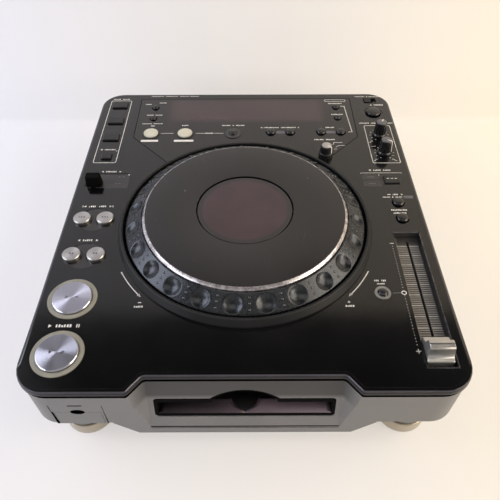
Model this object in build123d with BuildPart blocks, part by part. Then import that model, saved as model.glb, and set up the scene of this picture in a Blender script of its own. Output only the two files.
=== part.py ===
from build123d import *
from math import acos, cos, hypot, pi, radians, sin, tan
import os

os.makedirs("parts", exist_ok=True)

# Tabletop disc player with a large jog wheel. Origin: centre of the outline, on the surface
# that the feet stand on. X to the right, Y to the rear, Z up. Millimetres throughout.

# ---- housing: heights ----
foot_h = 37.0  # surface to the underside of the side sections
keel_drop = 17.0  # how far the middle of the tub hangs below the side sections
tub_h = 40.5  # underside of the side sections to the rim
rim_h = 9.5  # rim band, up to the control panel
toe_h = 9.0  # upright strip below the sloped front

# ---- housing: plan ----
side_band = 50.0  # controls either side of the jog collar
rear_band = 98.9  # display and hot cues behind the collar
front_band = 51.1  # front edge to the collar
corner_r = 23.0
recess_setback = 12.5  # how far the rim steps back in the middle
recess_flare = 10.0  # run of each slanting end of that step
recess_corner_r = 4.0
recess_margin = 4.0  # disc mouth to the slanting end
keel_side = 0.5  # how far the keel stands wider than the step
keel_flare = 17.0

# ---- housing: walls, seats, small openings ----
wall = 2.5
tub_inset = 1.2  # tub face behind the rim face
rim_t = 2.8
rim_edge_r = 2.0
ledge_w = 2.0  # shelf in the rim that carries the panel
panel_t = 2.5
panel_gap = 0.15
moving_gap = 0.3  # around everything that slides or turns in a moulding
shaft_gap = 0.1  # radial, pin in a bore
groove_h = 0.9  # parting groove along the foot of the slope
groove_depth = 1.2
rib_in_x = 22.0
rib_y = -20.0
rib_pitch = 56.0
rib_n = 4
rib_t = 1.6
vent_side = 1.2  # keel to the nearest vent
vent_y = 30.0
vent_pitch = 7.0
vent_n = 6
vent_l = 34.0
vent_w = 2.6
cut = 1.0  # how far a cut runs past the face that it opens

# ---- jog wheel ----
dial_r = 103.0
dial_gap = 1.8  # dial to collar
collar_lip_w = 2.5  # inner edge of the collar to its crest
collar_foot_w = 2.7  # crest to the foot on the panel
collar_h = 7.5
collar_foot_h = 1.6
collar_edge_r = 1.0
collar_tube_t = 2.1
dial_lip_h = 6.0  # outer lip above the panel
dial_slope_w = 14.4  # sloping finger face, in plan
dial_top_h = 15.4
dial_face_t = 6.0
dial_wall = 3.0
dial_rim_w = 0.5  # flat on top of the slope
dial_edge_r = 1.0
dial_skirt = 4.0  # how far the dial reaches below the panel top
dimple_n = 24
dimple_ball_r = 14.0
dimple_depth = 2.2
dimple_start = 9.8  # degrees
plate_h = 18.0  # touch plate top above the panel
plate_t = 4.0
plate_bevel_w = 3.4
plate_bevel_h = 2.6
plate_wall = 3.0
plate_gap = 0.5
plate_foot_gap = 0.2  # left under the plate's skirt when it is pressed
touch_travel = 0.4
centre_r = 40.8  # window in the middle of the touch plate
centre_t = 5.2
centre_sink = 0.8  # that window below the touch plate
centre_edge = 0.5
centre_lip = 4.8  # window beyond its post
post_wall = 5.0
hub_t = 3.2
hub_seat_w = 1.5
hub_lift = 4.0  # underside of the hub above the floor of the base
hub_under = 1.0  # top of the hub below the window
web_h = 1.0  # underside of the dial web above the panel
web_t = 3.0
base_h = 18.0  # underside of the jog base below the panel
base_t = 3.0
base_wall = 4.0
base_rib_n = 8
base_rib_t = 1.8
base_rib_h = 2.0
base_rib_start = 12.0  # degrees

# ---- ring gear and encoder gear ----
gear_module = 2.0
encoder_teeth = 18
tooth_angle = 20.0  # pressure angle, degrees
tooth_play = 0.2  # taken off each tooth at the pitch circle
ring_gear_h = 10.0  # down from the dial web, past the skirt of the dial
ring_rim = 5.0
encoder_gap = 2.0  # tips of the encoder gear to the wall of the base
encoder_pin_r = 2.0
encoder_pin_l = 1.0  # pin above its gear
encoder_hub_r = 5.0
encoder_at = 35.0  # degrees round the jog axis

# ---- buttons ----
button_gap = 0.3
flange_w = 1.2
flange_t = 1.2
ring_flange_t = 1.0
ring_rise = 0.8
stem_r = 1.6
stem_l = 0.6  # shortest stem, under the lit buttons
switch_gap = 0.1  # stem to switch when the button is down
switch_h = 4.4
switch_size = 6.0
press = 0.6
cap_edge = 0.6
square_corner_r = 1.0
big_cap_d = 30.5
big_ring_w = 3.75
big_rise = 2.6
skip_cap_d = 15.0
skip_rise = 3.0
skip_pitch = 20.3
skip_recess_r = 14.0
loop_cap_d = 15.0
loop_ring_w = 1.2
loop_rise = 2.0
loop_pitch = 35.5
reloop_cap_d = 8.0
reloop_ring_w = 4.3
reset_cap_d = 7.6
reset_ring_w = 2.5
mini_cap_d = 9.2
mini_rise = 1.8
mini_pitch = 20.3
dot_cap_d = 6.6
dot_rise = 1.6
dot_pitch = 20.6
eject_cap_d = 15.0
eject_rise = 2.2
eject_recess_w = 3.5
tempo_cap_d = 10.0
tempo_rise = 2.0
hot_cue_size = (16.5, 11.0)
hot_cue_rise = 2.0
hot_cue_pitch = 29.75
rec_size = (10.0, 9.0)
mode_size = (14.6, 10.4)
recess_t = 0.6  # shallow recesses in the panel
plate_corner_r = 2.0

# ---- where the controls stand: side bands ----
# x from the middle of the side band, y in from the rear or the front edge, or off the jog axis
ring_clear = 3.2  # panel ledge to the rings of the two large buttons
play_in_y = 30.5
cue_in_y = 79.0
skip_off = 1.45
track_up = 5.3
search_down = 37.4
hot_cue_off = -4.2
hot_cue_in_y = 24.0
rec_off = -3.3
rec_in_y = 115.0
direction_off = 4.5
direction_in_y = 151.5
lock_off = 4.0
lock_in_y = 15.3
eject_off = 4.3
eject_in_y = 39.5
knob_off = 4.0
knob_in_y = 80.0
knob_pitch = 30.0
mode_off = 4.0
mode_in_y = 152.1
range_off = 4.2
range_up = 25.4
master_off = 4.0
master_up = 4.8
trough_off = 3.4
trough_in_y = 18.5
reset_in_x = 31.0  # from the middle of the fader

# ---- where the controls stand: display window ----
window_from_side = 43.0
window_waist_in = 0.7
window_rear_gap = 11.0
window_bend = 82.7  # rear edge of the housing to the bend in its sides
window_run = 56.0
window_fall = 59.5
window_sheet_t = 1.5
window_gap = 0.2
dot_in_x = 17.5  # side of the window to the small round buttons
dot_in_y = 28.7
loop_in_x = 18.2
loop_in_y = 76.8
reloop_left = 13.2
folder_right = 36.65
call_in_x = 27.6
mini_in_y = 74.9
display_in_x = 29.0
display_l = 46.0
display_in_y = 42.0
display_h = 6.5
display_edge = 2.0  # panel opening beyond the display tube

# ---- control board ----
board_t = 1.6
board_margin = 6.0
board_gap = 2.0  # board to the jog base
board_leg_w = 64.0
board_fader_gap = 12.0
board_switch_gap = 0.4  # edge of the board to the nearest switch
board_post_r = 3.0
front_post_in = (52.0, 55.0)
side_post_in = (13.0, 133.0)
rear_post_in = (37.0, 13.0)

# ---- knobs ----
knob_top_r = 5.6
knob_foot_r = 7.0
knob_h = 16.0
knob_skirt_h = 2.0
knob_edge = 0.8
knob_flutes = 12
knob_flute_start = 15.0  # degrees
flute_r = 1.1
flute_depth = 0.5  # at the top of the knob
flute_up = 3.0
knob_lift = 0.4
knob_shaft_r = 3.0
shaft_tail = 3.0  # shaft below the board
adjust_r = 7.0
adjust_top_r = 5.8
adjust_h = 12.5
adjust_skirt_h = 4.0
adjust_step = 0.8
adjust_off_collar = 14.1
adjust_angle = 49.9  # degrees round the jog axis

# ---- direction lever and lock switch ----
lever_size = (15.0, 10.0)
lever_h = 11.0
lever_taper = 6.0  # degrees
lever_corner_r = 2.6
lever_travel = 8.0
lever_stem = 4.0
lever_end_gap = 1.5
lever_side_gap = 1.0
lever_plate_w = 41.0
stem_tail = 3.0  # stems of the sliding switches below the panel
lock_cap_w = 7.0
lock_cap_l = 8.4
lock_cap_rise = 0.9
lock_cap_r = 0.8
lock_travel = 5.0
lock_end_gap = 1.0
lock_depth = 2.0
lock_lift = 0.1
lock_stem = 3.0

# ---- tempo fader ----
trough_depth = 9.0
trough_wall = 1.5
fader_travel = 100.0
fader_cap_w = 19.6
fader_cap_l = 22.0
fader_cap_h = 12.0
fader_side_gap = 1.15
fader_end_gap = 4.0
cap_lift = 1.0  # cap above the floor of the trough
cap_front_h = 3.0
cap_lip = 1.2
scoop_h = 4.4
scoop_mid = 3.6  # lowest part of the scoop, in front of the middle
ridge_front = 0.6  # ridge overhang behind the middle
ridge_edge = 1.2
ridge_line = 5.0
ridge_line_w = 1.0
ridge_line_t = 0.8
ridge_back = 2.2
slit_side_gap = 0.5
slit_end = 1.0
fader_stem_w = 1.4
fader_stem_l = 6.0
fader_body_w = 12.0
fader_body_h = 8.0
fader_body_end = 6.0
fader_floor_t = 1.5

# ---- disc mouth and drive ----
disc_r = 60.0
disc_drop = 38.5  # disc plane below the panel top
slot_side_gap = 2.0
slot_h = 5.0
mouth_side = 4.5  # mouth beyond the slot, each side
mouth_above = 11.7
mouth_below = 7.5
mouth_corner_r = 3.0
arch_w = 51.0
arch_rise = 8.6
bezel_t = 1.6
bezel_gap = 0.3
bezel_face_in = 0.6
bezel_depth = 27.0  # front edge of the housing to the back of the bezel
funnel_back = 6.0
arch_back = 8.0
notch_r = 10.7
notch_in_y = 17.0
roller_r = 3.5
roller_pin_r = 1.5
roller_back = 6.0  # roller axis behind the bezel
roller_sink = 1.0  # roller below the disc
roller_end_gap = 1.0
roller_pin_end = 0.1
deck_under = 1.0  # deck below the roller
disc_behind = 6.0  # loaded disc behind the roller axis
drive_wall = 1.5
drive_side = 5.5  # drive frame beyond the mouth, each side
drive_front_gap = 1.0
drive_rear_gap = 6.0
drive_rise = 8.0  # side walls above the slot
leg_size = 8.0
leg_in = 5.0
turntable_r = 15.0
turntable_h = 4.0
turntable_rim = 1.6
turntable_rim_w = 5.0
hub_cone = (7.2, 6.4)
disc_over_hub = 0.6
spindle_r = 1.5
spindle_up = 2.0  # lower end of the spindle above the underside of the motor
motor_r = 12.0
motor_h = 11.0
motor_up = 2.0  # motor above the underside of the deck
motor_gap = 1.0
bridge_size = (12.0, 8.0)
rod_r = 1.5
rod_pitch = 36.0
rod_drop = 4.0
sled_off_table = 10.0  # edge of the turntable to the middle of the sled
sled_size = (20.0, 44.0, 7.0)
sled_top = (11.0, 26.0)
sled_top_up = 2.0
sled_travel = 32.0
sled_end_gap = 1.0
sled_gap = 1.5
tab_w = 3.0
tab_l = 6.0
tab_under = 1.0
lens_r = 3.5
lens_h = 2.0

# ---- feet ----
foot_r = 20.0
foot_neck_r = 15.0
foot_body_top = 24.0
foot_edge = 1.6
foot_in_x = 33.0
foot_in_y = 28.5
pad_in = 4.0  # foot edge to pad
pad_t = 3.0
pad_proud = 1.0
pad_gap = 0.2

# ---- card door ----
door_left = 23.0  # left edge of the housing to the door
door_w = 34.0
door_top = 31.0  # below the panel top
door_t = 2.0
door_gap = 0.3
door_pin_r = 1.0
door_axis_in = 4.6  # hinge axis behind the front edge
door_axis_up = 3.0  # and above the underside of the side section
door_swing = 4.0  # room behind the hinge axis
lug_t = 2.4
lug_over = 0.6
ear_w = 3.2
ear_l = 6.0
ear_over = 3.0
ear_end = 0.8  # left of the ear outside the bore
pin_end_gap = 0.4
thumb_w = 9.5
thumb_h = 6.0
thumb_depth = 1.0
lamp_up = 9.7
lamp_h = 1.4
socket_in_y = 12.0
socket_depth = 30.0
socket_side = 2.0
socket_h = 9.0
card_slot = (24.6, 2.6)
card_slot_up = 5.5
card_slot_back = 3.0

# ---- rear connectors ----
bay_w = 104.0
bay_h = 24.0
bay_depth = 11.0
bay_from_left = 40.0
bay_up = 8.0  # above the underside of the side sections
jack_pitch = 22.0
rca_r = 4.15
rca_bore_r = 1.6
rca_len = 9.0
jack_block_depth = 12.0
mini_jack_r = 1.78
mini_jack_len = 14.0
mini_collar_r = 4.0
mini_collar_len = 2.5
inlet_size = (27.0, 20.0)
inlet_hole = (24.0, 16.4)
inlet_depth = 17.0
inlet_back_t = 2.0
inlet_in_x = 40.0
inlet_pin = (2.0, 4.0, 14.0)
inlet_pin_pitch = 14.0
power_in_x = 76.0
power_size = (14.0, 9.0)
power_corner_r = 1.0
power_proud = 1.0
power_flange_w = 1.5
power_flange_t = 1.5
power_stem = 8.0
power_stem_w = 5.0

# ---- boards inside ----
stand_h = 5.0
stand_r = 3.5
main_board_w = 136.0
main_board_l = 94.0
main_board_gap = 4.8  # to the connector block
chip_size = 18.0
chip_h = 2.4
chip_pitch_x = 34.0
chip_pitch_y = 30.0
supply_w = 82.0
supply_l = 96.0
supply_h = 22.0
supply_in_x = 14.0  # from the right side of the housing
supply_board_gap = 4.0
supply_inlet_gap = 7.8
supply_block_w = 42.0
supply_block_l = 46.0
supply_block_left = 12.0
supply_block_front = 16.0

# ---- derived: jog wheel ----
collar_inner_r = dial_r + dial_gap
collar_crest_r = collar_inner_r + collar_lip_w
collar_r = collar_crest_r + collar_foot_w
collar_tube_r = collar_inner_r + collar_tube_t
dial_top_r = dial_r - dial_slope_w
dial_inner_r = dial_top_r - dial_rim_w
dimple_ring_r = dial_r - dial_slope_w / 2
plate_r = dial_inner_r - plate_gap
post_r = centre_r - centre_lip
base_r = collar_r
base_inner_r = base_r - base_wall
ring_teeth = round(2 * (base_inner_r - encoder_gap) / gear_module - 2 * (encoder_teeth + 1))
gear_centres = gear_module * (ring_teeth + encoder_teeth) / 2

# ---- derived: housing ----
half_w = collar_r + side_band
half_d = collar_r + (rear_band + front_band) / 2
jog_y = (front_band - rear_band) / 2
left, right, front, rear = -half_w, half_w, -half_d, half_d
slot_w = 2 * (disc_r + slot_side_gap)
mouth_half_w = slot_w / 2 + mouth_side
recess_half_w = mouth_half_w + recess_margin + recess_flare
keel_half_w = recess_half_w + keel_side
wing_z = foot_h
keel_z = foot_h - keel_drop
rim_z = foot_h + tub_h
panel_z = rim_z + rim_h
under_z = panel_z - panel_t
toe_z = keel_z + toe_h
run = recess_flare / recess_setback
lean = hypot(1, run)
slope = recess_setback / (rim_z - toe_z)
side_mid = side_band / 2
ledge_in = rim_t + ledge_w
board_drop = panel_t + ring_flange_t + flange_t + stem_l + press + switch_gap + switch_h
vent_x = keel_half_w + keel_flare + vent_side + ((vent_n - 1) * vent_pitch + vent_w) / 2
board_top = panel_z - board_drop
switch_top = board_top + switch_h
jog_axis = Axis((0, jog_y, 0), (0, 0, 1))
jog_section = Plane(origin=(0, jog_y, panel_z), x_dir=(1, 0, 0), z_dir=(0, -1, 0))
encoder_xy = (
    gear_centres * cos(radians(encoder_at)),
    jog_y + gear_centres * sin(radians(encoder_at)),
)

# ---- derived: centres of the controls ----
big_ring_d = big_cap_d + 2 * big_ring_w
play_at = (left + ledge_in + ring_clear + big_ring_d / 2, front + play_in_y)
cue_at = (play_at[0], front + cue_in_y)
skip_x = left + side_mid + skip_off
track_at = tuple((skip_x + side * skip_pitch / 2, jog_y + track_up) for side in (-1, 1))
search_at = tuple((skip_x + side * skip_pitch / 2, jog_y - search_down) for side in (-1, 1))
hot_cue_at = tuple(
    (left + side_mid + hot_cue_off, rear - hot_cue_in_y - i * hot_cue_pitch) for i in range(3)
)
rec_at = (left + side_mid + rec_off, rear - rec_in_y)
lever_plate_l = lever_size[1] + lever_travel + 2 * lever_end_gap
direction_at = (left + side_mid + direction_off, rear - direction_in_y)
lever_at = (
    direction_at[0] - lever_plate_w / 2 + lever_side_gap + lever_size[0] / 2,
    direction_at[1] - lever_plate_l / 2 + lever_end_gap + lever_size[1] / 2,
)
lock_size = (lock_cap_w + lock_travel + 2 * lock_end_gap, lock_cap_l + 2 * moving_gap)
lock_at = (right - side_mid + lock_off, rear - lock_in_y)
eject_at = (right - side_mid + eject_off, rear - eject_in_y)
brake_knob_at = (right - side_mid + knob_off, rear - knob_in_y)
start_knob_at = (brake_knob_at[0], brake_knob_at[1] - knob_pitch)
mode_at = (right - side_mid + mode_off, rear - mode_in_y)
range_at = (right - side_mid + range_off, jog_y + range_up)
master_at = (right - side_mid + master_off, jog_y + master_up)
trough_w = fader_cap_w + 2 * fader_side_gap
slit_w = fader_stem_w + 2 * slit_side_gap
trough_len = fader_travel + fader_cap_l + 2 * fader_end_gap
trough_at = (right - side_mid + trough_off, front + trough_in_y + trough_len / 2)
reset_at = (trough_at[0] - reset_in_x, trough_at[1])
window_half_w = half_w - window_from_side
dot_x = window_half_w - dot_in_x
time_at, memory_at = (-dot_x, rear - dot_in_y), (dot_x, rear - dot_in_y)
text_at, delete_at = (-dot_x, time_at[1] - dot_pitch), (dot_x, time_at[1] - dot_pitch)
loop_in_at = (loop_in_x - window_half_w, rear - loop_in_y)
loop_out_at = (loop_in_at[0] + loop_pitch, loop_in_at[1])
reloop_at = (-reloop_left, loop_in_at[1])
folder_at = tuple((folder_right + side * mini_pitch / 2, rear - mini_in_y) for side in (-1, 1))
call_x = window_half_w - call_in_x
call_at = tuple((call_x + side * mini_pitch / 2, rear - mini_in_y) for side in (-1, 1))
display_at = (0, rear - display_in_y)
display_w = 2 * (window_half_w - display_in_x)
adjust_at = (
    (collar_r + adjust_off_collar) * cos(radians(adjust_angle)),
    jog_y + (collar_r + adjust_off_collar) * sin(radians(adjust_angle)),
)
board_post_at = (
    (left + front_post_in[0], front + front_post_in[1]),
    (right - front_post_in[0], front + front_post_in[1]),
    (left + side_post_in[0], rear - side_post_in[1]),
    (right - side_post_in[0], rear - side_post_in[1]),
    (left + rear_post_in[0], rear - rear_post_in[1]),
    (right - rear_post_in[0], rear - rear_post_in[1]),
)

# ---- derived: disc mouth and drive ----
disc_z = panel_z - disc_drop
mouth_high = disc_z + mouth_above
mouth_low = disc_z - mouth_below
arch_high = mouth_high + arch_rise
slot_high = disc_z + slot_h / 2
slot_low = disc_z - slot_h / 2
bezel_back = front + bezel_depth
roller_y = bezel_back + roller_back
roller_z = disc_z - roller_sink - roller_r
spindle_y = roller_y + disc_behind + disc_r
deck_z = roller_z - roller_r - deck_under
drive_low = deck_z - drive_wall
drive_half_w = mouth_half_w + drive_side
drive_front = bezel_back + drive_front_gap
drive_rear = spindle_y + disc_r + drive_rear_gap
drive_y = (drive_front + drive_rear) / 2
motor_low = drive_low - motor_h + motor_up
sled_x = turntable_r + sled_off_table
rod_z = drive_low - rod_drop

# ---- derived: door, rear, boards ----
door_low = wing_z
door_high = panel_z - door_top
door_mid = left + door_left + door_w / 2
door_axis = (front + door_axis_in, wing_z + door_axis_up)
rear_face = rear - tub_inset
block_y = rear_face - bay_depth
bay_x = left + bay_from_left + bay_w / 2
bay_z = wing_z + bay_up + bay_h / 2
inlet_x = right - inlet_in_x
power_x = right - power_in_x
stand_z = wing_z + wall + stand_h
supply_at = (
    right - supply_in_x - supply_w / 2,
    rear_face - inlet_depth - inlet_back_t - supply_inlet_gap - supply_l / 2,
)
main_board_at = (
    supply_at[0] - supply_w / 2 - supply_board_gap - main_board_w / 2,
    block_y - jack_block_depth - main_board_gap - main_board_l / 2,
)
stand_spots = [
    (at[0] + i * (w / 2 - 2 * stand_r), at[1] + j * (l / 2 - 2 * stand_r))
    for at, w, l in ((main_board_at, main_board_w, main_board_l), (supply_at, supply_w, supply_l))
    for i in (-1, 1)
    for j in (-1, 1)
]

# name: (centre, cap diameter, height above the panel, width of the ring around it or 0)
round_buttons = {
    "play_button": (play_at, big_cap_d, big_rise, big_ring_w),
    "cue_button": (cue_at, big_cap_d, big_rise, big_ring_w),
    "track_back_button": (track_at[0], skip_cap_d, skip_rise, 0),
    "track_forward_button": (track_at[1], skip_cap_d, skip_rise, 0),
    "search_back_button": (search_at[0], skip_cap_d, skip_rise, 0),
    "search_forward_button": (search_at[1], skip_cap_d, skip_rise, 0),
    "time_mode_button": (time_at, dot_cap_d, dot_rise, 0),
    "text_mode_button": (text_at, dot_cap_d, dot_rise, 0),
    "loop_in_button": (loop_in_at, loop_cap_d, loop_rise, loop_ring_w),
    "loop_out_button": (loop_out_at, loop_cap_d, loop_rise, loop_ring_w),
    "reloop_button": (reloop_at, reloop_cap_d, loop_rise, reloop_ring_w),
    "folder_back_button": (folder_at[0], mini_cap_d, mini_rise, 0),
    "folder_forward_button": (folder_at[1], mini_cap_d, mini_rise, 0),
    "call_back_button": (call_at[0], mini_cap_d, mini_rise, 0),
    "call_forward_button": (call_at[1], mini_cap_d, mini_rise, 0),
    "memory_button": (memory_at, dot_cap_d, dot_rise, 0),
    "delete_button": (delete_at, dot_cap_d, dot_rise, 0),
    "eject_button": (eject_at, eject_cap_d, eject_rise, 0),
    "tempo_range_button": (range_at, tempo_cap_d, tempo_rise, 0),
    "master_tempo_button": (master_at, tempo_cap_d, tempo_rise, 0),
    "tempo_reset_button": (reset_at, reset_cap_d, dot_rise, reset_ring_w),
}
# name: (centre, cap size, height above the panel)
square_buttons = {
    "hot_cue_a_button": (hot_cue_at[0], hot_cue_size, hot_cue_rise),
    "hot_cue_b_button": (hot_cue_at[1], hot_cue_size, hot_cue_rise),
    "hot_cue_c_button": (hot_cue_at[2], hot_cue_size, hot_cue_rise),
    "rec_mode_button": (rec_at, rec_size, hot_cue_rise),
    "jog_mode_button": (mode_at, mode_size, dot_rise),
}


def button_hole(cap_d, ring_w):
    """Radius of the hole that a round button, or the ring around it, comes up through."""
    return cap_d / 2 + (ring_w + panel_gap if ring_w else button_gap)


def plan_face(inset):
    """Plan of the housing, its front stepped back in the middle, all edges moved in by inset."""
    back_y = front + recess_setback + inset
    back_x = recess_half_w - recess_flare + inset * (lean - run)
    lead_x = back_x + run * (recess_setback + inset + cut)
    with BuildSketch(mode=Mode.PRIVATE) as plan:
        RectangleRounded(2 * (half_w - inset), 2 * (half_d - inset), corner_r - inset)
        with BuildLine():
            Polyline(
                (-lead_x, front - cut), (-back_x, back_y), (back_x, back_y),
                (lead_x, front - cut), close=True,
            )
        make_face(mode=Mode.SUBTRACT)
        midway = (half_w - corner_r + recess_half_w) / 2
        near = plan.vertices().filter_by(lambda v: abs(v.X) < midway and v.Y < back_y + cut)
        outer, inner = near.group_by(Axis.Y)[0], near.group_by(Axis.Y)[-1]
        fillet(outer, max(recess_corner_r - inset, rim_edge_r / 4))
        fillet(inner, recess_corner_r + inset)
    return plan.sketch


def slope_wedge(grow):
    """What the sloped front takes off the tub, with every face moved in by grow."""
    inset = tub_inset + grow
    back_x = recess_half_w - recess_flare + inset * (lean - run)
    with BuildPart(mode=Mode.PRIVATE) as wedge:
        for z in (toe_z, rim_z + cut):
            back = inset + (z - toe_z) * slope
            lead_x = back_x + run * (back + cut)
            with BuildSketch(Plane.XY.offset(z)):
                with BuildLine():
                    Polyline(
                        (-lead_x, front - cut), (-back_x, front + back),
                        (back_x, front + back), (lead_x, front - cut), close=True,
                    )
                make_face()
        loft(ruled=True)
    return wedge.part


def keel_face(inset, top):
    """Section of the keel across the housing, its flared sides moved in by inset."""
    slant = hypot(keel_flare, keel_drop) / keel_drop
    foot_x = keel_half_w - inset * (slant - keel_flare / keel_drop)
    wing_x = keel_half_w + keel_flare - inset * slant
    with BuildSketch(mode=Mode.PRIVATE) as section:
        with BuildLine():
            Polyline(
                (-foot_x, keel_z + inset), (-wing_x, wing_z), (-wing_x, top),
                (wing_x, top), (wing_x, wing_z), (foot_x, keel_z + inset), close=True,
            )
        make_face()
    return section.sketch


def arch_face(inset):
    """Front view of the finger arch, from the disc plane up."""
    side_x, side_z = arch_w / 2 - inset, mouth_high - inset
    with BuildSketch(mode=Mode.PRIVATE) as arch:
        with BuildLine():
            Polyline((side_x, side_z), (side_x, disc_z), (-side_x, disc_z), (-side_x, side_z))
            ThreePointArc((-side_x, side_z), (0, arch_high - inset), (side_x, side_z))
        make_face()
    return arch.sketch


def mouth_face(inset):
    """Front view of the disc mouth, a slot with the finger arch over its middle."""
    with BuildSketch(mode=Mode.PRIVATE) as mouth:
        with Locations((0, (mouth_low + mouth_high) / 2)):
            RectangleRounded(
                2 * (mouth_half_w - inset), mouth_high - mouth_low - 2 * inset,
                mouth_corner_r - inset,
            )
        add(arch_face(inset))
    return mouth.sketch


def gear_points(teeth, play, steps):
    """One spur gear outline: straight flanks for a large gear, more steps for a small one."""
    pitch_r = gear_module * teeth / 2
    base_circle = pitch_r * cos(radians(tooth_angle))
    root_r, tip_r = pitch_r - 1.25 * gear_module, pitch_r + gear_module

    def roll(r):
        a = acos(min(base_circle / r, 1.0))
        return tan(a) - a

    half_pitch_tooth = (pi * gear_module / 2 - play) / 2 / pitch_r + roll(pitch_r)
    low_r = max(root_r, base_circle)
    radii = [low_r + (tip_r - low_r) * i / steps for i in range(steps + 1)]
    if root_r < base_circle:
        radii.insert(0, root_r)
    points = []
    for t in range(teeth):
        centre = 2 * pi * t / teeth
        flank = [(r, half_pitch_tooth - roll(max(r, low_r))) for r in radii]
        for r, a in flank:
            points.append((r * cos(centre - a), r * sin(centre - a)))
        for r, a in reversed(flank):
            points.append((r * cos(centre + a), r * sin(centre + a)))
    return points


# ---- bottom case: moulded tub with a sloped front and a keel ----
with BuildPart() as tub_space:
    inner = tub_inset + wall
    with BuildSketch(Plane.XY.offset(wing_z + wall)):
        RectangleRounded(2 * (half_w - inner), 2 * (half_d - inner), corner_r - inner)
    extrude(amount=tub_h)
    with BuildSketch(Plane.XZ.offset(half_d - inner)):
        add(keel_face(wall, wing_z + 2 * wall))
    extrude(amount=-2 * (half_d - inner))
    add(slope_wedge(wall), mode=Mode.SUBTRACT)

with BuildPart() as bottom_case:
    with BuildSketch(Plane.XY.offset(wing_z)):
        RectangleRounded(2 * (half_w - tub_inset), 2 * (half_d - tub_inset), corner_r - tub_inset)
    extrude(amount=tub_h)
    chamfer(bottom_case.faces().sort_by(Axis.Z)[0].edges(), tub_inset)
    with BuildSketch(Plane.XZ.offset(half_d - tub_inset)):
        add(keel_face(0, wing_z + 2 * tub_inset))
    extrude(amount=-2 * (half_d - tub_inset))
    add(slope_wedge(0), mode=Mode.SUBTRACT)
    add(tub_space.part, mode=Mode.SUBTRACT)
    # parting groove along the foot of the slope
    with BuildSketch(Plane.XY.offset(toe_z)):
        with Locations((0, front + tub_inset)):
            Rectangle(2 * (recess_half_w - recess_flare), 2 * groove_depth)
    extrude(amount=-groove_h, mode=Mode.SUBTRACT)
    # disc mouth, with its finger arch
    with BuildSketch(Plane.XZ.offset(half_d + cut)):
        add(mouth_face(0))
    extrude(amount=-(recess_setback + 3 * wall), mode=Mode.SUBTRACT)
    # card door opening, cut down through the front edge of the floor
    with BuildSketch(Plane.XZ.offset(half_d + cut)):
        with Locations((door_mid, (door_low - cut + door_high) / 2)):
            Rectangle(door_w, door_high - door_low + cut)
    extrude(amount=-(door_axis_in + door_swing), mode=Mode.SUBTRACT)
    # hinge ears either side of the door
    with BuildSketch(Plane.XY.offset(wing_z + tub_inset)):
        with Locations((door_mid, front + tub_inset + wall / 2 + ear_l / 2)):
            with GridLocations(door_w + ear_w, 0, 2, 1):
                Rectangle(ear_w, ear_l)
    extrude(amount=door_axis_up + ear_over - tub_inset)
    with BuildSketch(Plane.YZ.offset(door_mid)):
        with Locations(door_axis):
            Circle(door_pin_r + shaft_gap)
    extrude(amount=door_w / 2 + ear_w - ear_end, both=True, mode=Mode.SUBTRACT)
    # half of the thumb notch, and the slit over the card lamp
    with BuildSketch(Plane.XZ.offset(half_d)):
        with Locations((door_mid, door_high)):
            SlotOverall(thumb_w, thumb_h)
        with Locations((door_mid, door_high + lamp_up)):
            SlotOverall(thumb_w, lamp_h)
    extrude(amount=-(tub_inset + thumb_depth), mode=Mode.SUBTRACT)
    # rear openings: connector bay, mains inlet, power button
    with BuildSketch(Plane.XZ.offset(-rear - cut)):
        with Locations((bay_x, bay_z)):
            Rectangle(bay_w, bay_h)
        with Locations((inlet_x, bay_z)):
            Rectangle(inlet_size[0] + 2 * panel_gap, inlet_size[1] + 2 * panel_gap)
        with Locations((power_x, bay_z)):
            Rectangle(power_size[0] + 2 * button_gap, power_size[1] + 2 * button_gap)
    extrude(amount=wall + tub_inset + 2 * cut, mode=Mode.SUBTRACT)
    # frame of the connector bay
    with BuildSketch(Plane.XZ.offset(-rear_face)):
        with Locations((bay_x, bay_z)):
            Rectangle(bay_w + 2 * wall, bay_h + 2 * wall)
            Rectangle(bay_w, bay_h, mode=Mode.SUBTRACT)
    extrude(amount=bay_depth)
    # standoffs for the boards, and ribs under the side sections
    for x, y in stand_spots:
        stand_low = (keel_z if abs(x) < keel_half_w else wing_z) + wall / 2
        with BuildSketch(Plane.XY.offset(stand_low)):
            with Locations((x, y)):
                Circle(stand_r)
        extrude(amount=stand_z - stand_low)
    with BuildSketch(Plane.XY.offset(wing_z + wall / 2)):
        with Locations((left + rib_in_x, rib_y), (right - rib_in_x, rib_y)):
            with GridLocations(0, rib_pitch, 1, rib_n):
                Rectangle(2 * (rib_in_x - tub_inset - wall / 2), rib_t)
    extrude(amount=stand_h + wall / 2)
    # cooling slots under the power supply
    with BuildSketch(Plane.XY.offset(wing_z - cut)):
        with Locations((vent_x, vent_y)):
            with GridLocations(vent_pitch, 0, vent_n, 1):
                SlotOverall(vent_l, vent_w, rotation=90)
    extrude(amount=wall + 2 * cut, mode=Mode.SUBTRACT)

bottom_case.part.label = "bottom_case"
export_step(bottom_case.part, "parts/bottom_case.step")

# ---- top rim: rounded band with a shelf for the panel ----
with BuildPart() as top_rim:
    with BuildSketch(Plane.XY.offset(rim_z)):
        add(plan_face(0))
    extrude(amount=rim_h)
    fillet(top_rim.faces().sort_by(Axis.Z)[-1].edges(), rim_edge_r)
    with BuildSketch(Plane.XY.offset(under_z)):
        add(plan_face(rim_t))
    extrude(amount=panel_t + cut, mode=Mode.SUBTRACT)
    with BuildSketch(Plane.XY.offset(rim_z - cut)):
        add(plan_face(ledge_in))
    extrude(amount=rim_h, mode=Mode.SUBTRACT)

top_rim.part.label = "top_rim"
export_step(top_rim.part, "parts/top_rim.step")


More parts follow.
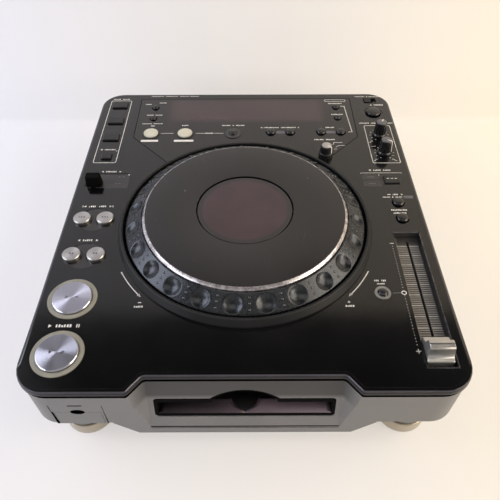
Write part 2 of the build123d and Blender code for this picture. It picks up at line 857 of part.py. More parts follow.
def window_outline(inset):
    """Six-sided window behind the jog wheel, its front edge on the collar."""
    bend_y, waist_x = rear - window_bend, window_half_w - window_waist_in
    tip_x, tip_y = waist_x - window_run, bend_y - window_fall
    with BuildSketch(mode=Mode.PRIVATE) as pane:
        with BuildLine():
            Polyline(
                (-window_half_w, rear - window_rear_gap), (window_half_w, rear - window_rear_gap),
                (waist_x, bend_y), (tip_x, tip_y), (-tip_x, tip_y), (-waist_x, bend_y), close=True,
            )
        make_face()
        with Locations((0, jog_y)):
            Circle(collar_r + shaft_gap, mode=Mode.SUBTRACT)
        if inset:
            offset(amount=-inset, kind=Kind.INTERSECTION)
    return pane.sketch


# ---- control panel: plate with every opening, the fader trough and the board posts ----
with BuildPart() as control_panel:
    with BuildSketch(Plane.XY.offset(under_z)):
        add(plan_face(rim_t + panel_gap))
    extrude(amount=panel_t)
    # trough and posts hang below the plate
    trough_low = panel_z - trough_depth - trough_wall
    with BuildSketch(Plane.XY.offset(trough_low)):
        with Locations(trough_at):
            Rectangle(trough_w + 2 * trough_wall, trough_len + 2 * trough_wall)
    extrude(amount=trough_depth + trough_wall - panel_t / 2)
    with BuildSketch(Plane.XY.offset(board_top)):
        with Locations(*board_post_at):
            Circle(board_post_r)
    extrude(amount=board_drop - panel_t / 2)
    with BuildSketch(Plane.XY.offset(panel_z - trough_depth)):
        with Locations(trough_at):
            Rectangle(trough_w, trough_len)
    extrude(amount=trough_depth + cut, mode=Mode.SUBTRACT)
    with BuildSketch(Plane.XY.offset(trough_low - cut)):
        with Locations(trough_at):
            Rectangle(slit_w, fader_travel + fader_stem_l + 2 * slit_end)
    extrude(amount=trough_wall + 2 * cut, mode=Mode.SUBTRACT)
    # openings: jog wheel, buttons or their rings, knob shafts, stems, display
    with BuildSketch(Plane.XY.offset(under_z - cut)):
        with Locations((0, jog_y)):
            Circle(collar_tube_r + panel_gap)
        for at, cap_d, rise, ring_w in round_buttons.values():
            with Locations(at):
                Circle(button_hole(cap_d, ring_w))
        for at, size, rise in square_buttons.values():
            with Locations(at):
                RectangleRounded(
                    size[0] + 2 * button_gap, size[1] + 2 * button_gap,
                    square_corner_r + button_gap,
                )
        with Locations(brake_knob_at, start_knob_at, adjust_at):
            Circle(knob_shaft_r + shaft_gap)
        with Locations((lever_at[0], lever_at[1] + lever_travel / 2)):
            Rectangle(lever_stem + 2 * moving_gap, lever_stem + lever_travel + 2 * moving_gap)
        with Locations(lock_at):
            Rectangle(lock_stem + lock_travel + 2 * moving_gap, lock_stem + 2 * moving_gap)
        with Locations(display_at):
            Rectangle(display_w, display_l)
    extrude(amount=panel_t + 2 * cut, mode=Mode.SUBTRACT)
    # shallow recesses: window, skip pairs, eject, direction plate, lock switch
    with BuildSketch(Plane.XY.offset(panel_z - window_sheet_t)):
        add(window_outline(0))
    extrude(amount=window_sheet_t + cut, mode=Mode.SUBTRACT)
    with BuildSketch(Plane.XY.offset(panel_z - recess_t)):
        with Locations((skip_x, track_at[0][1]), (skip_x, search_at[0][1])):
            Circle(skip_recess_r)
        with Locations(eject_at):
            Circle(eject_cap_d / 2 + eject_recess_w)
        with Locations(direction_at):
            RectangleRounded(lever_plate_w, lever_plate_l, plate_corner_r)
    extrude(amount=recess_t + cut, mode=Mode.SUBTRACT)
    with BuildSketch(Plane.XY.offset(panel_z - lock_depth)):
        with Locations(lock_at):
            RectangleRounded(lock_size[0], lock_size[1], square_corner_r + moving_gap)
    extrude(amount=lock_depth + cut, mode=Mode.SUBTRACT)

control_panel.part.label = "control_panel"
export_step(control_panel.part, "parts/control_panel.step")

# ---- display window: smoked sheet that the loop and memory buttons pass through ----
with BuildPart() as display_window:
    with BuildSketch(Plane.XY.offset(panel_z - window_sheet_t)):
        add(window_outline(window_gap))
        for at, cap_d, rise, ring_w in round_buttons.values():
            with Locations(at):
                Circle(button_hole(cap_d, ring_w), mode=Mode.SUBTRACT)
        with Locations(adjust_at):
            Circle(knob_shaft_r + shaft_gap, mode=Mode.SUBTRACT)
    extrude(amount=window_sheet_t)

display_window.part.label = "display_window"
export_step(display_window.part, "parts/display_window.step")

# ---- jog collar: raised ring moulding in the panel opening ----
with BuildPart() as jog_collar:
    with BuildSketch(jog_section) as collar_half:
        with BuildLine():
            Polyline(
                (collar_inner_r, -panel_t), (collar_inner_r, collar_h), (collar_crest_r, collar_h),
                (collar_r, collar_foot_h), (collar_r, 0), (collar_tube_r, 0),
                (collar_tube_r, -panel_t), close=True,
            )
        make_face()
        fillet(collar_half.vertices().group_by(Axis.Y)[-1], collar_edge_r)
    revolve(axis=jog_axis)

jog_collar.part.label = "jog_collar"
export_step(jog_collar.part, "parts/jog_collar.step")

# ---- jog base: dish under the panel with the centre post and the encoder pin ----
floor_h = -base_h + base_t  # top of the dish floor, from the panel top
hub_low = floor_h + hub_lift
centre_low = plate_h - centre_sink - centre_t
ring_gear_low = web_h - ring_gear_h
encoder_top = -dial_skirt - 2 * moving_gap
encoder_low = ring_gear_low + shaft_gap
seat_r = post_r + moving_gap + hub_t + hub_seat_w
with BuildPart() as jog_base:
    with BuildSketch(jog_section):
        with BuildLine():
            Polyline(
                (post_r - post_wall, -base_h), (base_r, -base_h), (base_r, -panel_t),
                (base_inner_r, -panel_t), (base_inner_r, floor_h), (seat_r, floor_h),
                (seat_r, hub_low - moving_gap), (post_r, hub_low - moving_gap),
                (post_r, centre_low), (post_r - post_wall, centre_low), close=True,
            )
        make_face()
    revolve(axis=jog_axis)
    with BuildSketch(Plane.XY.offset(panel_z + floor_h)):
        with Locations(encoder_xy):
            Circle(encoder_pin_r)
    extrude(amount=encoder_top + encoder_pin_l - floor_h)
    with BuildSketch(Plane.XY.offset(panel_z + floor_h)):
        rib_from, rib_to = seat_r - hub_seat_w, base_inner_r + base_wall / 2
        with Locations((0, jog_y)):
            with PolarLocations((rib_from + rib_to) / 2, base_rib_n, start_angle=base_rib_start):
                Rectangle(rib_to - rib_from, base_rib_t)
    extrude(amount=base_rib_h)

jog_base.part.label = "jog_base"
export_step(jog_base.part, "parts/jog_base.step")

# ---- centre window: fixed cap on the post, over the centre display ----
with BuildPart() as jog_window:
    with BuildSketch(jog_section):
        top = centre_low + centre_t
        with BuildLine():
            Polyline(
                (0, centre_low), (centre_r, centre_low), (centre_r, top - centre_edge),
                (centre_r - centre_edge, top), (0, top), close=True,
            )
        make_face()
    revolve(axis=jog_axis)

jog_window.part.label = "jog_window"
export_step(jog_window.part, "parts/jog_window.step")

# ---- jog dial: finger-dimpled ring on a web and hub ----
face_rise = dial_top_h - dial_lip_h
face_len = hypot(face_rise, dial_slope_w)


def face_h(r):
    """Height of the sloping finger face at radius r, above the panel."""
    return dial_lip_h + face_rise * (dial_r - r) / dial_slope_w


with BuildPart() as jog_dial:
    web_top = web_h + web_t
    hub_in, hub_out = post_r + moving_gap, post_r + moving_gap + hub_t
    wall_in, wall_out = dial_inner_r + dial_wall, dial_r - dial_wall
    with BuildSketch(jog_section) as dial_half:
        with BuildLine():
            Polyline(
                (hub_in, hub_low), (hub_out, hub_low), (hub_out, web_h), (dial_inner_r, web_h),
                (dial_inner_r, -dial_skirt), (wall_in, -dial_skirt),
                (wall_in, face_h(wall_in) - dial_face_t), (wall_out, face_h(wall_out) - dial_face_t),
                (wall_out, -dial_skirt), (dial_r, -dial_skirt), (dial_r, dial_lip_h),
                (dial_top_r, dial_top_h), (dial_inner_r, dial_top_h), (dial_inner_r, web_top),
                (hub_out, web_top), (hub_out, centre_low - hub_under),
                (hub_in, centre_low - hub_under), close=True,
            )
        make_face()
        lip = dial_half.vertices().group_by(Axis.X)[-1].sort_by(Axis.Y)[-1]
        fillet(lip, dial_edge_r)
    revolve(axis=jog_axis)
    # finger dimples: balls that dip into the sloping face
    ball_out = dimple_ball_r - dimple_depth
    ball_ring_r = dimple_ring_r + ball_out * face_rise / face_len
    ball_z = panel_z + face_h(dimple_ring_r) + ball_out * dial_slope_w / face_len
    turns = [radians(dimple_start + 360.0 * i / dimple_n) for i in range(dimple_n)]
    with Locations(*[(ball_ring_r * cos(a), jog_y + ball_ring_r * sin(a), ball_z) for a in turns]):
        Sphere(dimple_ball_r, mode=Mode.SUBTRACT)

jog_dial.part.label = "jog_dial"
export_step(jog_dial.part, "parts/jog_dial.step")

# ---- ring gear under the dial web ----
with BuildPart() as jog_ring_gear:
    with BuildSketch(Plane(origin=(0, jog_y, panel_z + ring_gear_low))):
        with BuildLine():
            Polyline(*gear_points(ring_teeth, tooth_play, 1), close=True)
        make_face()
        Circle(gear_module * (ring_teeth / 2 - 1.25) - ring_rim, mode=Mode.SUBTRACT)
    extrude(amount=ring_gear_h)

jog_ring_gear.part.label = "jog_ring_gear"
export_step(jog_ring_gear.part, "parts/jog_ring_gear.step")

# ---- encoder gear: small gear with its hub, on the pin of the base ----
ring_phase = (encoder_at * ring_teeth / 360.0) % 1.0
encoder_turn = encoder_at + 180.0 + (ring_phase + 0.5) * 360.0 / encoder_teeth
encoder_plane = Plane(
    origin=(encoder_xy[0], encoder_xy[1], panel_z + encoder_low),
    x_dir=(cos(radians(encoder_turn)), sin(radians(encoder_turn)), 0),
    z_dir=(0, 0, 1),
)
with BuildPart() as encoder_gear:
    with BuildSketch(encoder_plane):
        with BuildLine():
            Polyline(*gear_points(encoder_teeth, tooth_play, 3), close=True)
        make_face()
        Circle(encoder_pin_r + shaft_gap, mode=Mode.SUBTRACT)
    extrude(amount=encoder_top - encoder_low)
    with BuildSketch(encoder_plane):
        Circle(encoder_hub_r)
        Circle(encoder_pin_r + shaft_gap, mode=Mode.SUBTRACT)
    extrude(amount=-(encoder_low - floor_h - moving_gap))

encoder_gear.part.label = "encoder_gear"
export_step(encoder_gear.part, "parts/encoder_gear.step")

# ---- touch plate: metal disc with a bevelled edge, guided inside the dial ----
with BuildPart() as jog_plate:
    with BuildSketch(jog_section):
        under = plate_h - plate_t
        foot = web_top + touch_travel + plate_foot_gap
        hole_r = centre_r + plate_gap
        rib_in = hole_r + plate_wall / 2
        with BuildLine():
            Polyline(
                (hole_r, plate_h), (plate_r - plate_bevel_w, plate_h),
                (plate_r, plate_h - plate_bevel_h), (plate_r, foot), (plate_r - plate_wall, foot),
                (plate_r - plate_wall, under), (rib_in + plate_wall, under),
                (rib_in + plate_wall, foot), (rib_in, foot), (rib_in, under), (hole_r, under),
                close=True,
            )
        make_face()
    revolve(axis=jog_axis)

jog_plate.part.label = "jog_plate"
export_step(jog_plate.part, "parts/jog_plate.step")

# ---- rings around the lit buttons, clipped up through the panel ----
with BuildPart() as button_rings:
    for at, cap_d, rise, ring_w in round_buttons.values():
        if ring_w:
            with BuildSketch(Plane.XY.offset(under_z - ring_flange_t)):
                with Locations(at):
                    Circle(cap_d / 2 + ring_w + flange_w)
                    Circle(cap_d / 2 + button_gap, mode=Mode.SUBTRACT)
            extrude(amount=ring_flange_t)
            with BuildSketch(Plane.XY.offset(under_z)):
                with Locations(at):
                    Circle(cap_d / 2 + ring_w)
                    Circle(cap_d / 2 + button_gap, mode=Mode.SUBTRACT)
            extrude(amount=panel_t + ring_rise)

button_rings.part.label = "button_rings"
export_step(button_rings.part, "parts/button_rings.step")

# ---- round buttons: cap, retaining flange and stem over its switch ----
stem_low = switch_top + press + switch_gap
for name, (at, cap_d, rise, ring_w) in round_buttons.items():
    flange_top = under_z - (ring_flange_t if ring_w else 0)
    with BuildPart() as button:
        with BuildSketch(Plane.XY.offset(flange_top)):
            with Locations(at):
                Circle(cap_d / 2)
        extrude(amount=panel_z + rise - flange_top)
        chamfer(button.faces().sort_by(Axis.Z)[-1].edges(), cap_edge)
        with BuildSketch(Plane.XY.offset(flange_top - flange_t)):
            with Locations(at):
                Circle(cap_d / 2 + flange_w)
        extrude(amount=flange_t)
        with BuildSketch(Plane.XY.offset(stem_low)):
            with Locations(at):
                Circle(stem_r)
        extrude(amount=flange_top - flange_t - stem_low)
    button.part.label = name
    export_step(button.part, "parts/" + name + ".step")

# ---- oblong buttons ----
for name, (at, size, rise) in square_buttons.items():
    with BuildPart() as button:
        with BuildSketch(Plane.XY.offset(under_z)):
            with Locations(at):
                RectangleRounded(size[0], size[1], square_corner_r)
        extrude(amount=panel_t + rise)
        chamfer(button.faces().sort_by(Axis.Z)[-1].edges(), cap_edge)
        with BuildSketch(Plane.XY.offset(under_z - flange_t)):
            with Locations(at):
                RectangleRounded(size[0] + 2 * flange_w, size[1] + 2 * flange_w, square_corner_r)
        extrude(amount=flange_t)
        with BuildSketch(Plane.XY.offset(stem_low)):
            with Locations(at):
                Circle(stem_r)
        extrude(amount=under_z - flange_t - stem_low)
    button.part.label = name
    export_step(button.part, "parts/" + name + ".step")

# ---- control board: one board around the jog base, with a switch under each button ----
with BuildPart() as control_board:
    edge = rim_t + board_margin
    with BuildSketch(Plane.XY.offset(board_top - board_t)):
        RectangleRounded(2 * (half_w - edge), 2 * (half_d - edge), corner_r - edge)
        with Locations((0, jog_y)):
            Circle(base_r + board_gap, mode=Mode.SUBTRACT)
        with Locations((0, front)):
            Rectangle(2 * (half_w - board_leg_w), 2 * (half_d + jog_y), mode=Mode.SUBTRACT)
        # the front right corner, up to the switch behind the fader, is left for the fader unit
        fader_from = trough_at[0] - trough_w / 2 - board_fader_gap
        fader_to = master_at[1] - switch_size / 2 - board_switch_gap
        with Locations(((fader_from + right) / 2, (front + fader_to) / 2)):
            Rectangle(right - fader_from, fader_to - front, mode=Mode.SUBTRACT)
        with Locations(brake_knob_at, start_knob_at, adjust_at):
            Circle(knob_shaft_r + moving_gap, mode=Mode.SUBTRACT)
    extrude(amount=board_t)
    with BuildSketch(Plane.XY.offset(board_top)):
        for at, *rest in list(round_buttons.values()) + list(square_buttons.values()):
            with Locations(at):
                Rectangle(switch_size, switch_size)
    extrude(amount=switch_h)
    with BuildSketch(Plane.XY.offset(board_top)):
        with Locations(display_at):
            Rectangle(display_w - 2 * display_edge, display_l - 2 * display_edge)
    extrude(amount=display_h)

control_board.part.label = "control_board"
export_step(control_board.part, "parts/control_board.step")

# ---- fluted knobs and the jog adjust knob ----
shaft_low = board_top - board_t - shaft_tail
for name, at in (("touch_brake_knob", brake_knob_at), ("release_start_knob", start_knob_at)):
    with BuildPart() as knob:
        with BuildSketch(Plane(origin=(at[0], at[1], panel_z), x_dir=(1, 0, 0), z_dir=(0, -1, 0))):
            skirt_top = knob_lift + knob_skirt_h
            with BuildLine():
                Polyline(
                    (0, knob_lift), (knob_foot_r, knob_lift), (knob_foot_r, skirt_top),
                    (knob_foot_r - knob_edge, skirt_top + knob_edge),
                    (knob_top_r, knob_h - knob_edge), (knob_top_r - knob_edge, knob_h),
                    (0, knob_h), close=True,
                )
            make_face()
        revolve(axis=Axis((at[0], at[1], 0), (0, 0, 1)))
        with BuildSketch(Plane.XY.offset(panel_z + knob_lift + flute_up)):
            with Locations(at):
                with PolarLocations(
                    knob_top_r + flute_r - flute_depth, knob_flutes, start_angle=knob_flute_start
                ):
                    Circle(flute_r)
        extrude(amount=knob_h, mode=Mode.SUBTRACT)
        with BuildSketch(Plane.XY.offset(shaft_low)):
            with Locations(at):
                Circle(knob_shaft_r)
        extrude(amount=panel_z + knob_lift - shaft_low)
    knob.part.label = name
    export_step(knob.part, "parts/" + name + ".step")

with BuildPart() as jog_adjust_knob:
    adjust_section = Plane(
        origin=(adjust_at[0], adjust_at[1], panel_z), x_dir=(1, 0, 0), z_dir=(0, -1, 0)
    )
    with BuildSketch(adjust_section):
        skirt_top = knob_lift + adjust_skirt_h
        with BuildLine():
            Polyline(
                (0, knob_lift), (adjust_r, knob_lift), (adjust_r, skirt_top),
                (adjust_r - adjust_step, skirt_top + adjust_step),
                (adjust_top_r, adjust_h - knob_edge), (adjust_top_r - knob_edge, adjust_h),
                (0, adjust_h), close=True,
            )
        make_face()
    revolve(axis=Axis((adjust_at[0], adjust_at[1], 0), (0, 0, 1)))
    with BuildSketch(Plane.XY.offset(shaft_low)):
        with Locations(adjust_at):
            Circle(knob_shaft_r)
    extrude(amount=panel_z + knob_lift - shaft_low)

jog_adjust_knob.part.label = "jog_adjust_knob"
export_step(jog_adjust_knob.part, "parts/jog_adjust_knob.step")

# ---- direction lever: tall cap on a stem that slides in a slot ----
with BuildPart() as direction_lever:
    lever_foot = panel_z - recess_t + moving_gap
    with BuildSketch(Plane.XY.offset(lever_foot)):
        with Locations(lever_at):
            RectangleRounded(lever_size[0], lever_size[1], lever_corner_r)
    extrude(amount=lever_h, taper=lever_taper)
    chamfer(direction_lever.faces().sort_by(Axis.Z)[-1].edges(), cap_edge)
    with BuildSketch(Plane.XY.offset(under_z - stem_tail)):
        with Locations(lever_at):
            Rectangle(lever_stem, lever_stem)
    extrude(amount=lever_foot - under_z + stem_tail)

direction_lever.part.label = "direction_lever"
export_step(direction_lever.part, "parts/direction_lever.step")

# ---- lock switch: small slider in a sunk pocket ----
with BuildPart() as lock_switch:
    lock_low = panel_z - lock_depth + lock_lift
    lock_rest = (lock_at[0] - lock_travel / 2, lock_at[1])
    with BuildSketch(Plane.XY.offset(lock_low)):
        with Locations(lock_rest):
            RectangleRounded(lock_cap_w, lock_cap_l, lock_cap_r)
    extrude(amount=panel_z + lock_cap_rise - lock_low)
    with BuildSketch(Plane.XY.offset(under_z - stem_tail)):
        with Locations(lock_rest):
            Rectangle(lock_stem, lock_stem)
    extrude(amount=lock_low - under_z + stem_tail)

lock_switch.part.label = "lock_switch"
export_step(lock_switch.part, "parts/lock_switch.step")

# ---- tempo fader: cap with a scooped top, and the slide unit below the trough ----
unit_top = panel_z - trough_depth - trough_wall
with BuildPart() as tempo_fader_cap:
    cap_x, cap_y = trough_at[0], trough_at[1] - fader_travel / 2
    cap_low = cap_lift - trough_depth
    half_l = fader_cap_l / 2
    line_from, line_to = ridge_line - ridge_line_w / 2, ridge_line + ridge_line_w / 2
    line_z = fader_cap_h - ridge_line_t
    with BuildSketch(Plane(origin=(cap_x, cap_y, panel_z), x_dir=(0, 1, 0), z_dir=(1, 0, 0))):
        with BuildLine():
            Polyline(
                (-half_l, cap_low), (-half_l, cap_front_h),
                (-half_l + cap_lip, cap_front_h + cap_lip),
            )
            ThreePointArc(
                (-half_l + cap_lip, cap_front_h + cap_lip), (-scoop_mid, scoop_h),
                (ridge_front, fader_cap_h - ridge_edge),
            )
            Polyline(
                (ridge_front, fader_cap_h - ridge_edge), (ridge_front + ridge_edge, fader_cap_h),
                (line_from, fader_cap_h), (line_from, line_z), (line_to, line_z),
                (line_to, fader_cap_h), (half_l - ridge_back - ridge_edge, fader_cap_h),
                (half_l - ridge_back, fader_cap_h - ridge_edge), (half_l, cap_front_h),
                (half_l, cap_low), (-half_l, cap_low),
            )
        make_face()
    extrude(amount=fader_cap_w / 2, both=True)
    with BuildSketch(Plane.XY.offset(unit_top - fader_body_h / 2)):
        with Locations((cap_x, cap_y)):
            Rectangle(fader_stem_w, fader_stem_l)
    extrude(amount=fader_body_h / 2 + trough_wall + cap_lift)

tempo_fader_cap.part.label = "tempo_fader_cap"
export_step(tempo_fader_cap.part, "parts/tempo_fader_cap.step")

with BuildPart() as fader_unit:
    with BuildSketch(Plane.XY.offset(unit_top - fader_body_h)):
        with Locations(trough_at):
            Rectangle(fader_body_w, fader_travel + fader_stem_l + 2 * fader_body_end)
    extrude(amount=fader_body_h)
    with BuildSketch(Plane.XY.offset(unit_top - fader_body_h + fader_floor_t)):
        with Locations(trough_at):
            Rectangle(slit_w, fader_travel + fader_stem_l + 2 * slit_end)
    extrude(amount=fader_body_h, mode=Mode.SUBTRACT)

fader_unit.part.label = "fader_unit"
export_step(fader_unit.part, "parts/fader_unit.step")

# ---- disc mouth bezel: funnel from the sloped face down to the disc slot ----
with BuildPart() as disc_bezel:
    with BuildSketch(Plane.XZ.offset(-bezel_back)):
        add(mouth_face(bezel_gap))
    extrude(amount=bezel_depth)
    # its front edge follows the sloped face, a little behind it
    add(slope_wedge(bezel_face_in), mode=Mode.SUBTRACT)
    # funnel, then the slot behind it
    for y, z_low, z_high, half in (
        (front, mouth_low + bezel_t, mouth_high - bezel_t, mouth_half_w - bezel_t),
        (bezel_back - funnel_back, slot_low, slot_high, slot_w / 2),
    ):
        with BuildSketch(Plane.XZ.offset(-y)):
            with Locations((0, (z_low + z_high) / 2)):
                Rectangle(2 * half, z_high - z_low)
    loft(ruled=True, mode=Mode.SUBTRACT)
    with BuildSketch(Plane.XZ.offset(-bezel_back - cut)):
        with Locations((0, disc_z)):
            Rectangle(slot_w, slot_h)
    extrude(amount=funnel_back + cut, mode=Mode.SUBTRACT)
    # finger arch in the roof, finger notch in the floor
    with BuildSketch(Plane.XZ.offset(-front)):
        add(arch_face(bezel_t))
    extrude(amount=arch_back - bezel_depth, mode=Mode.SUBTRACT)
    with BuildSketch(Plane.XY.offset(mouth_low - cut)):
        with Locations((0, front + notch_in_y)):
            Circle(notch_r)
    extrude(amount=disc_z - mouth_low + cut, mode=Mode.SUBTRACT)

disc_bezel.part.label = "disc_bezel"
export_step(disc_bezel.part, "parts/disc_bezel.step")

# ---- disc drive: sheet frame with side walls, spindle motor, sled rods ----
with BuildPart() as drive_frame:
    drive_l = drive_rear - drive_front
    with BuildSketch(Plane.XY.offset(drive_low)):
        with Locations((0, drive_y)):
            Rectangle(2 * drive_half_w, drive_l)
        with Locations((0, spindle_y)):
            Circle(motor_r + motor_gap, mode=Mode.SUBTRACT)
        with Locations((sled_x + sled_travel / 2, spindle_y)):
            Rectangle(
                sled_top[0] + sled_travel + 2 * sled_gap, sled_top[1] + 2 * sled_gap,
                mode=Mode.SUBTRACT,
            )
    extrude(amount=drive_wall)
    # side walls, with bores for the roller pins
    with BuildSketch(Plane.XY.offset(drive_low)):
        with Locations((0, drive_y)):
            with GridLocations(2 * drive_half_w - drive_wall, 0, 2, 1):
                Rectangle(drive_wall, drive_l)
    extrude(amount=slot_high + drive_rise - drive_low)
    with BuildSketch(Plane.YZ):
        with Locations((roller_y, roller_z)):
            Circle(roller_pin_r + shaft_gap)
    extrude(amount=drive_half_w + cut, both=True, mode=Mode.SUBTRACT)
    # legs to the floor of the keel
    with BuildSketch(Plane.XY.offset(keel_z + wall)):
        with Locations((0, drive_y)):
            with GridLocations(2 * (drive_half_w - leg_in), drive_l - 2 * leg_in, 2, 2):
                Rectangle(leg_size, leg_size)
    extrude(amount=drive_low - keel_z - wall)
    # spindle motor on its bridge
    with BuildSketch(Plane.XY.offset(motor_low)):
        with Locations((0, spindle_y)):
            Circle(motor_r)
            Circle(spindle_r + shaft_gap, mode=Mode.SUBTRACT)
    extrude(amount=motor_h)
    with BuildSketch(Plane.XY.offset(drive_low)):
        with Locations((-motor_r - bridge_size[0] / 4, spindle_y)):
            Rectangle(*bridge_size)
    extrude(amount=drive_wall)
    # rods for the sled, and the tabs that hold them
    tab_from = sled_x - sled_size[0] / 2 - sled_end_gap - tab_w / 2
    tab_to = sled_x + sled_size[0] / 2 + sled_travel + sled_end_gap + tab_w / 2
    tab_low = rod_z - rod_r - tab_under
    with BuildSketch(Plane.XY.offset(tab_low)):
        with Locations((tab_from, spindle_y), (tab_to, spindle_y)):
            with GridLocations(0, rod_pitch, 1, 2):
                Rectangle(tab_w, tab_l)
    extrude(amount=drive_low - tab_low)
    with BuildSketch(Plane.YZ.offset(tab_from)):
        with Locations((spindle_y, rod_z)):
            with GridLocations(rod_pitch, 0, 2, 1):
                Circle(rod_r)
    extrude(amount=tab_to - tab_from)

drive_frame.part.label = "drive_frame"
export_step(drive_frame.part, "parts/drive_frame.step")

# ---- loading roller ----
with BuildPart() as loading_roller:
    with BuildSketch(Plane.YZ):
        with Locations((roller_y, roller_z)):
            Circle(roller_r)
    extrude(amount=drive_half_w - drive_wall - roller_end_gap, both=True)
    with BuildSketch(Plane.YZ):
        with Locations((roller_y, roller_z)):
            Circle(roller_pin_r)
    extrude(amount=drive_half_w - roller_pin_end, both=True)

loading_roller.part.label = "loading_roller"
export_step(loading_roller.part, "parts/loading_roller.step")

# ---- turntable on the motor spindle ----
with BuildPart() as turntable:
    hub_z = disc_z - disc_over_hub
    table_low, rim_top = hub_z - turntable_h, hub_z - turntable_h + turntable_rim
    with BuildSketch(Plane(origin=(0, spindle_y, 0), x_dir=(1, 0, 0), z_dir=(0, -1, 0))):
        with BuildLine():
            Polyline(
                (0, motor_low + spindle_up), (spindle_r, motor_low + spindle_up),
                (spindle_r, table_low), (turntable_r, table_low), (turntable_r, rim_top),
                (turntable_r - turntable_rim_w, hub_z - turntable_rim),
                (hub_cone[0], hub_z - turntable_rim), (hub_cone[1], hub_z), (0, hub_z), close=True,
            )
        make_face()
    revolve(axis=Axis((0, spindle_y, 0), (0, 0, 1)))

turntable.part.label = "turntable"
export_step(turntable.part, "parts/turntable.step")

# ---- pickup sled on its rods, lens towards the disc ----
with BuildPart() as pickup_sled:
    with BuildSketch(Plane.XY.offset(rod_z - sled_size[2] / 2)):
        with Locations((sled_x, spindle_y)):
            Rectangle(sled_size[0], sled_size[1])
    extrude(amount=sled_size[2])
    with BuildSketch(Plane.YZ.offset(sled_x)):
        with Locations((spindle_y, rod_z)):
            with GridLocations(rod_pitch, 0, 2, 1):
                Circle(rod_r + shaft_gap)
    extrude(amount=sled_size[0], both=True, mode=Mode.SUBTRACT)
    with BuildSketch(Plane.XY.offset(rod_z + sled_size[2] / 2)):
        with Locations((sled_x, spindle_y)):
            Rectangle(*sled_top)
    extrude(amount=deck_z + sled_top_up - rod_z - sled_size[2] / 2)
    with BuildSketch(Plane.XY.offset(deck_z + sled_top_up)):
        with Locations((sled_x, spindle_y)):
            Circle(lens_r)
    extrude(amount=lens_h)

pickup_sled.part.label = "pickup_sled"
export_step(pickup_sled.part, "parts/pickup_sled.step")

# ---- feet: turned bodies on a neck, with rubber pads let into them ----
foot_grid = (2 * (half_w - foot_in_x), 2 * (half_d - foot_in_y), 2, 2)
pad_r = foot_r - pad_in
with BuildPart() as feet:
    with BuildSketch(Plane.XY.offset(pad_proud)):
        with GridLocations(*foot_grid):
            Circle(foot_r)
    extrude(amount=foot_body_top - pad_proud)
    chamfer(feet.faces().filter_by(Axis.Z).edges(), foot_edge)
    with BuildSketch(Plane.XY.offset(foot_body_top)):
        with GridLocations(*foot_grid):
            Circle(foot_neck_r)
    extrude(amount=foot_h - foot_body_top)
    with BuildSketch(Plane.XY):
        with GridLocations(*foot_grid):
            Circle(pad_r + pad_gap)
    extrude(amount=pad_t, mode=Mode.SUBTRACT)

feet.part.label = "feet"
export_step(feet.part, "parts/feet.step")

with BuildPart() as foot_pads:
    with BuildSketch(Plane.XY):
        with GridLocations(*foot_grid):
            Circle(pad_r)
    extrude(amount=pad_t)

foot_pads.part.label = "foot_pads"
export_step(foot_pads.part, "parts/foot_pads.step")

# ---- card door on its hinge pins, and the card socket behind it ----
with BuildPart() as card_door:
    face_y = front + tub_inset
    half = door_w / 2 - door_gap
    with BuildSketch(Plane.XZ.offset(-face_y - door_t)):
        with Locations((door_mid, (door_low + door_high) / 2)):
            Rectangle(2 * half, door_high - door_low - 2 * door_gap)
    extrude(amount=door_t)
    with BuildSketch(Plane.XZ.offset(-face_y)):
        with Locations((door_mid, door_high)):
            SlotOverall(thumb_w, thumb_h)
    extrude(amount=-thumb_depth, mode=Mode.SUBTRACT)
    # lugs from the door to its axis, then the pins
    lug_r = door_pin_r + lug_over
    for side in (-1, 1):
        with BuildSketch(Plane.YZ.offset(door_mid + side * (half - lug_t / 2))):
            with Locations(door_axis):
                Circle(lug_r)
            with Locations(((face_y + door_t + door_axis[0]) / 2, door_axis[1])):
                Rectangle(door_axis[0] - face_y - door_t + lug_over, 2 * lug_r)
        extrude(amount=lug_t / 2, both=True)
        with BuildSketch(Plane.YZ.offset(door_mid + side * half)):
            with Locations(door_axis):
                Circle(door_pin_r)
        extrude(amount=side * (door_gap + ear_w - ear_end - pin_end_gap))

card_door.part.label = "card_door"
export_step(card_door.part, "parts/card_door.step")

with BuildPart() as card_socket:
    with BuildSketch(Plane.XY.offset(wing_z + wall)):
        with Locations((door_mid, front + socket_in_y + socket_depth / 2)):
            Rectangle(door_w - 2 * socket_side, socket_depth)
    extrude(amount=socket_h)
    with BuildSketch(Plane.XZ.offset(-front - socket_in_y)):
        with Locations((door_mid, wing_z + wall + card_slot_up)):
            Rectangle(*card_slot)
    extrude(amount=card_slot_back - socket_depth, mode=Mode.SUBTRACT)

card_socket.part.label = "card_socket"
export_step(card_socket.part, "parts/card_socket.step")

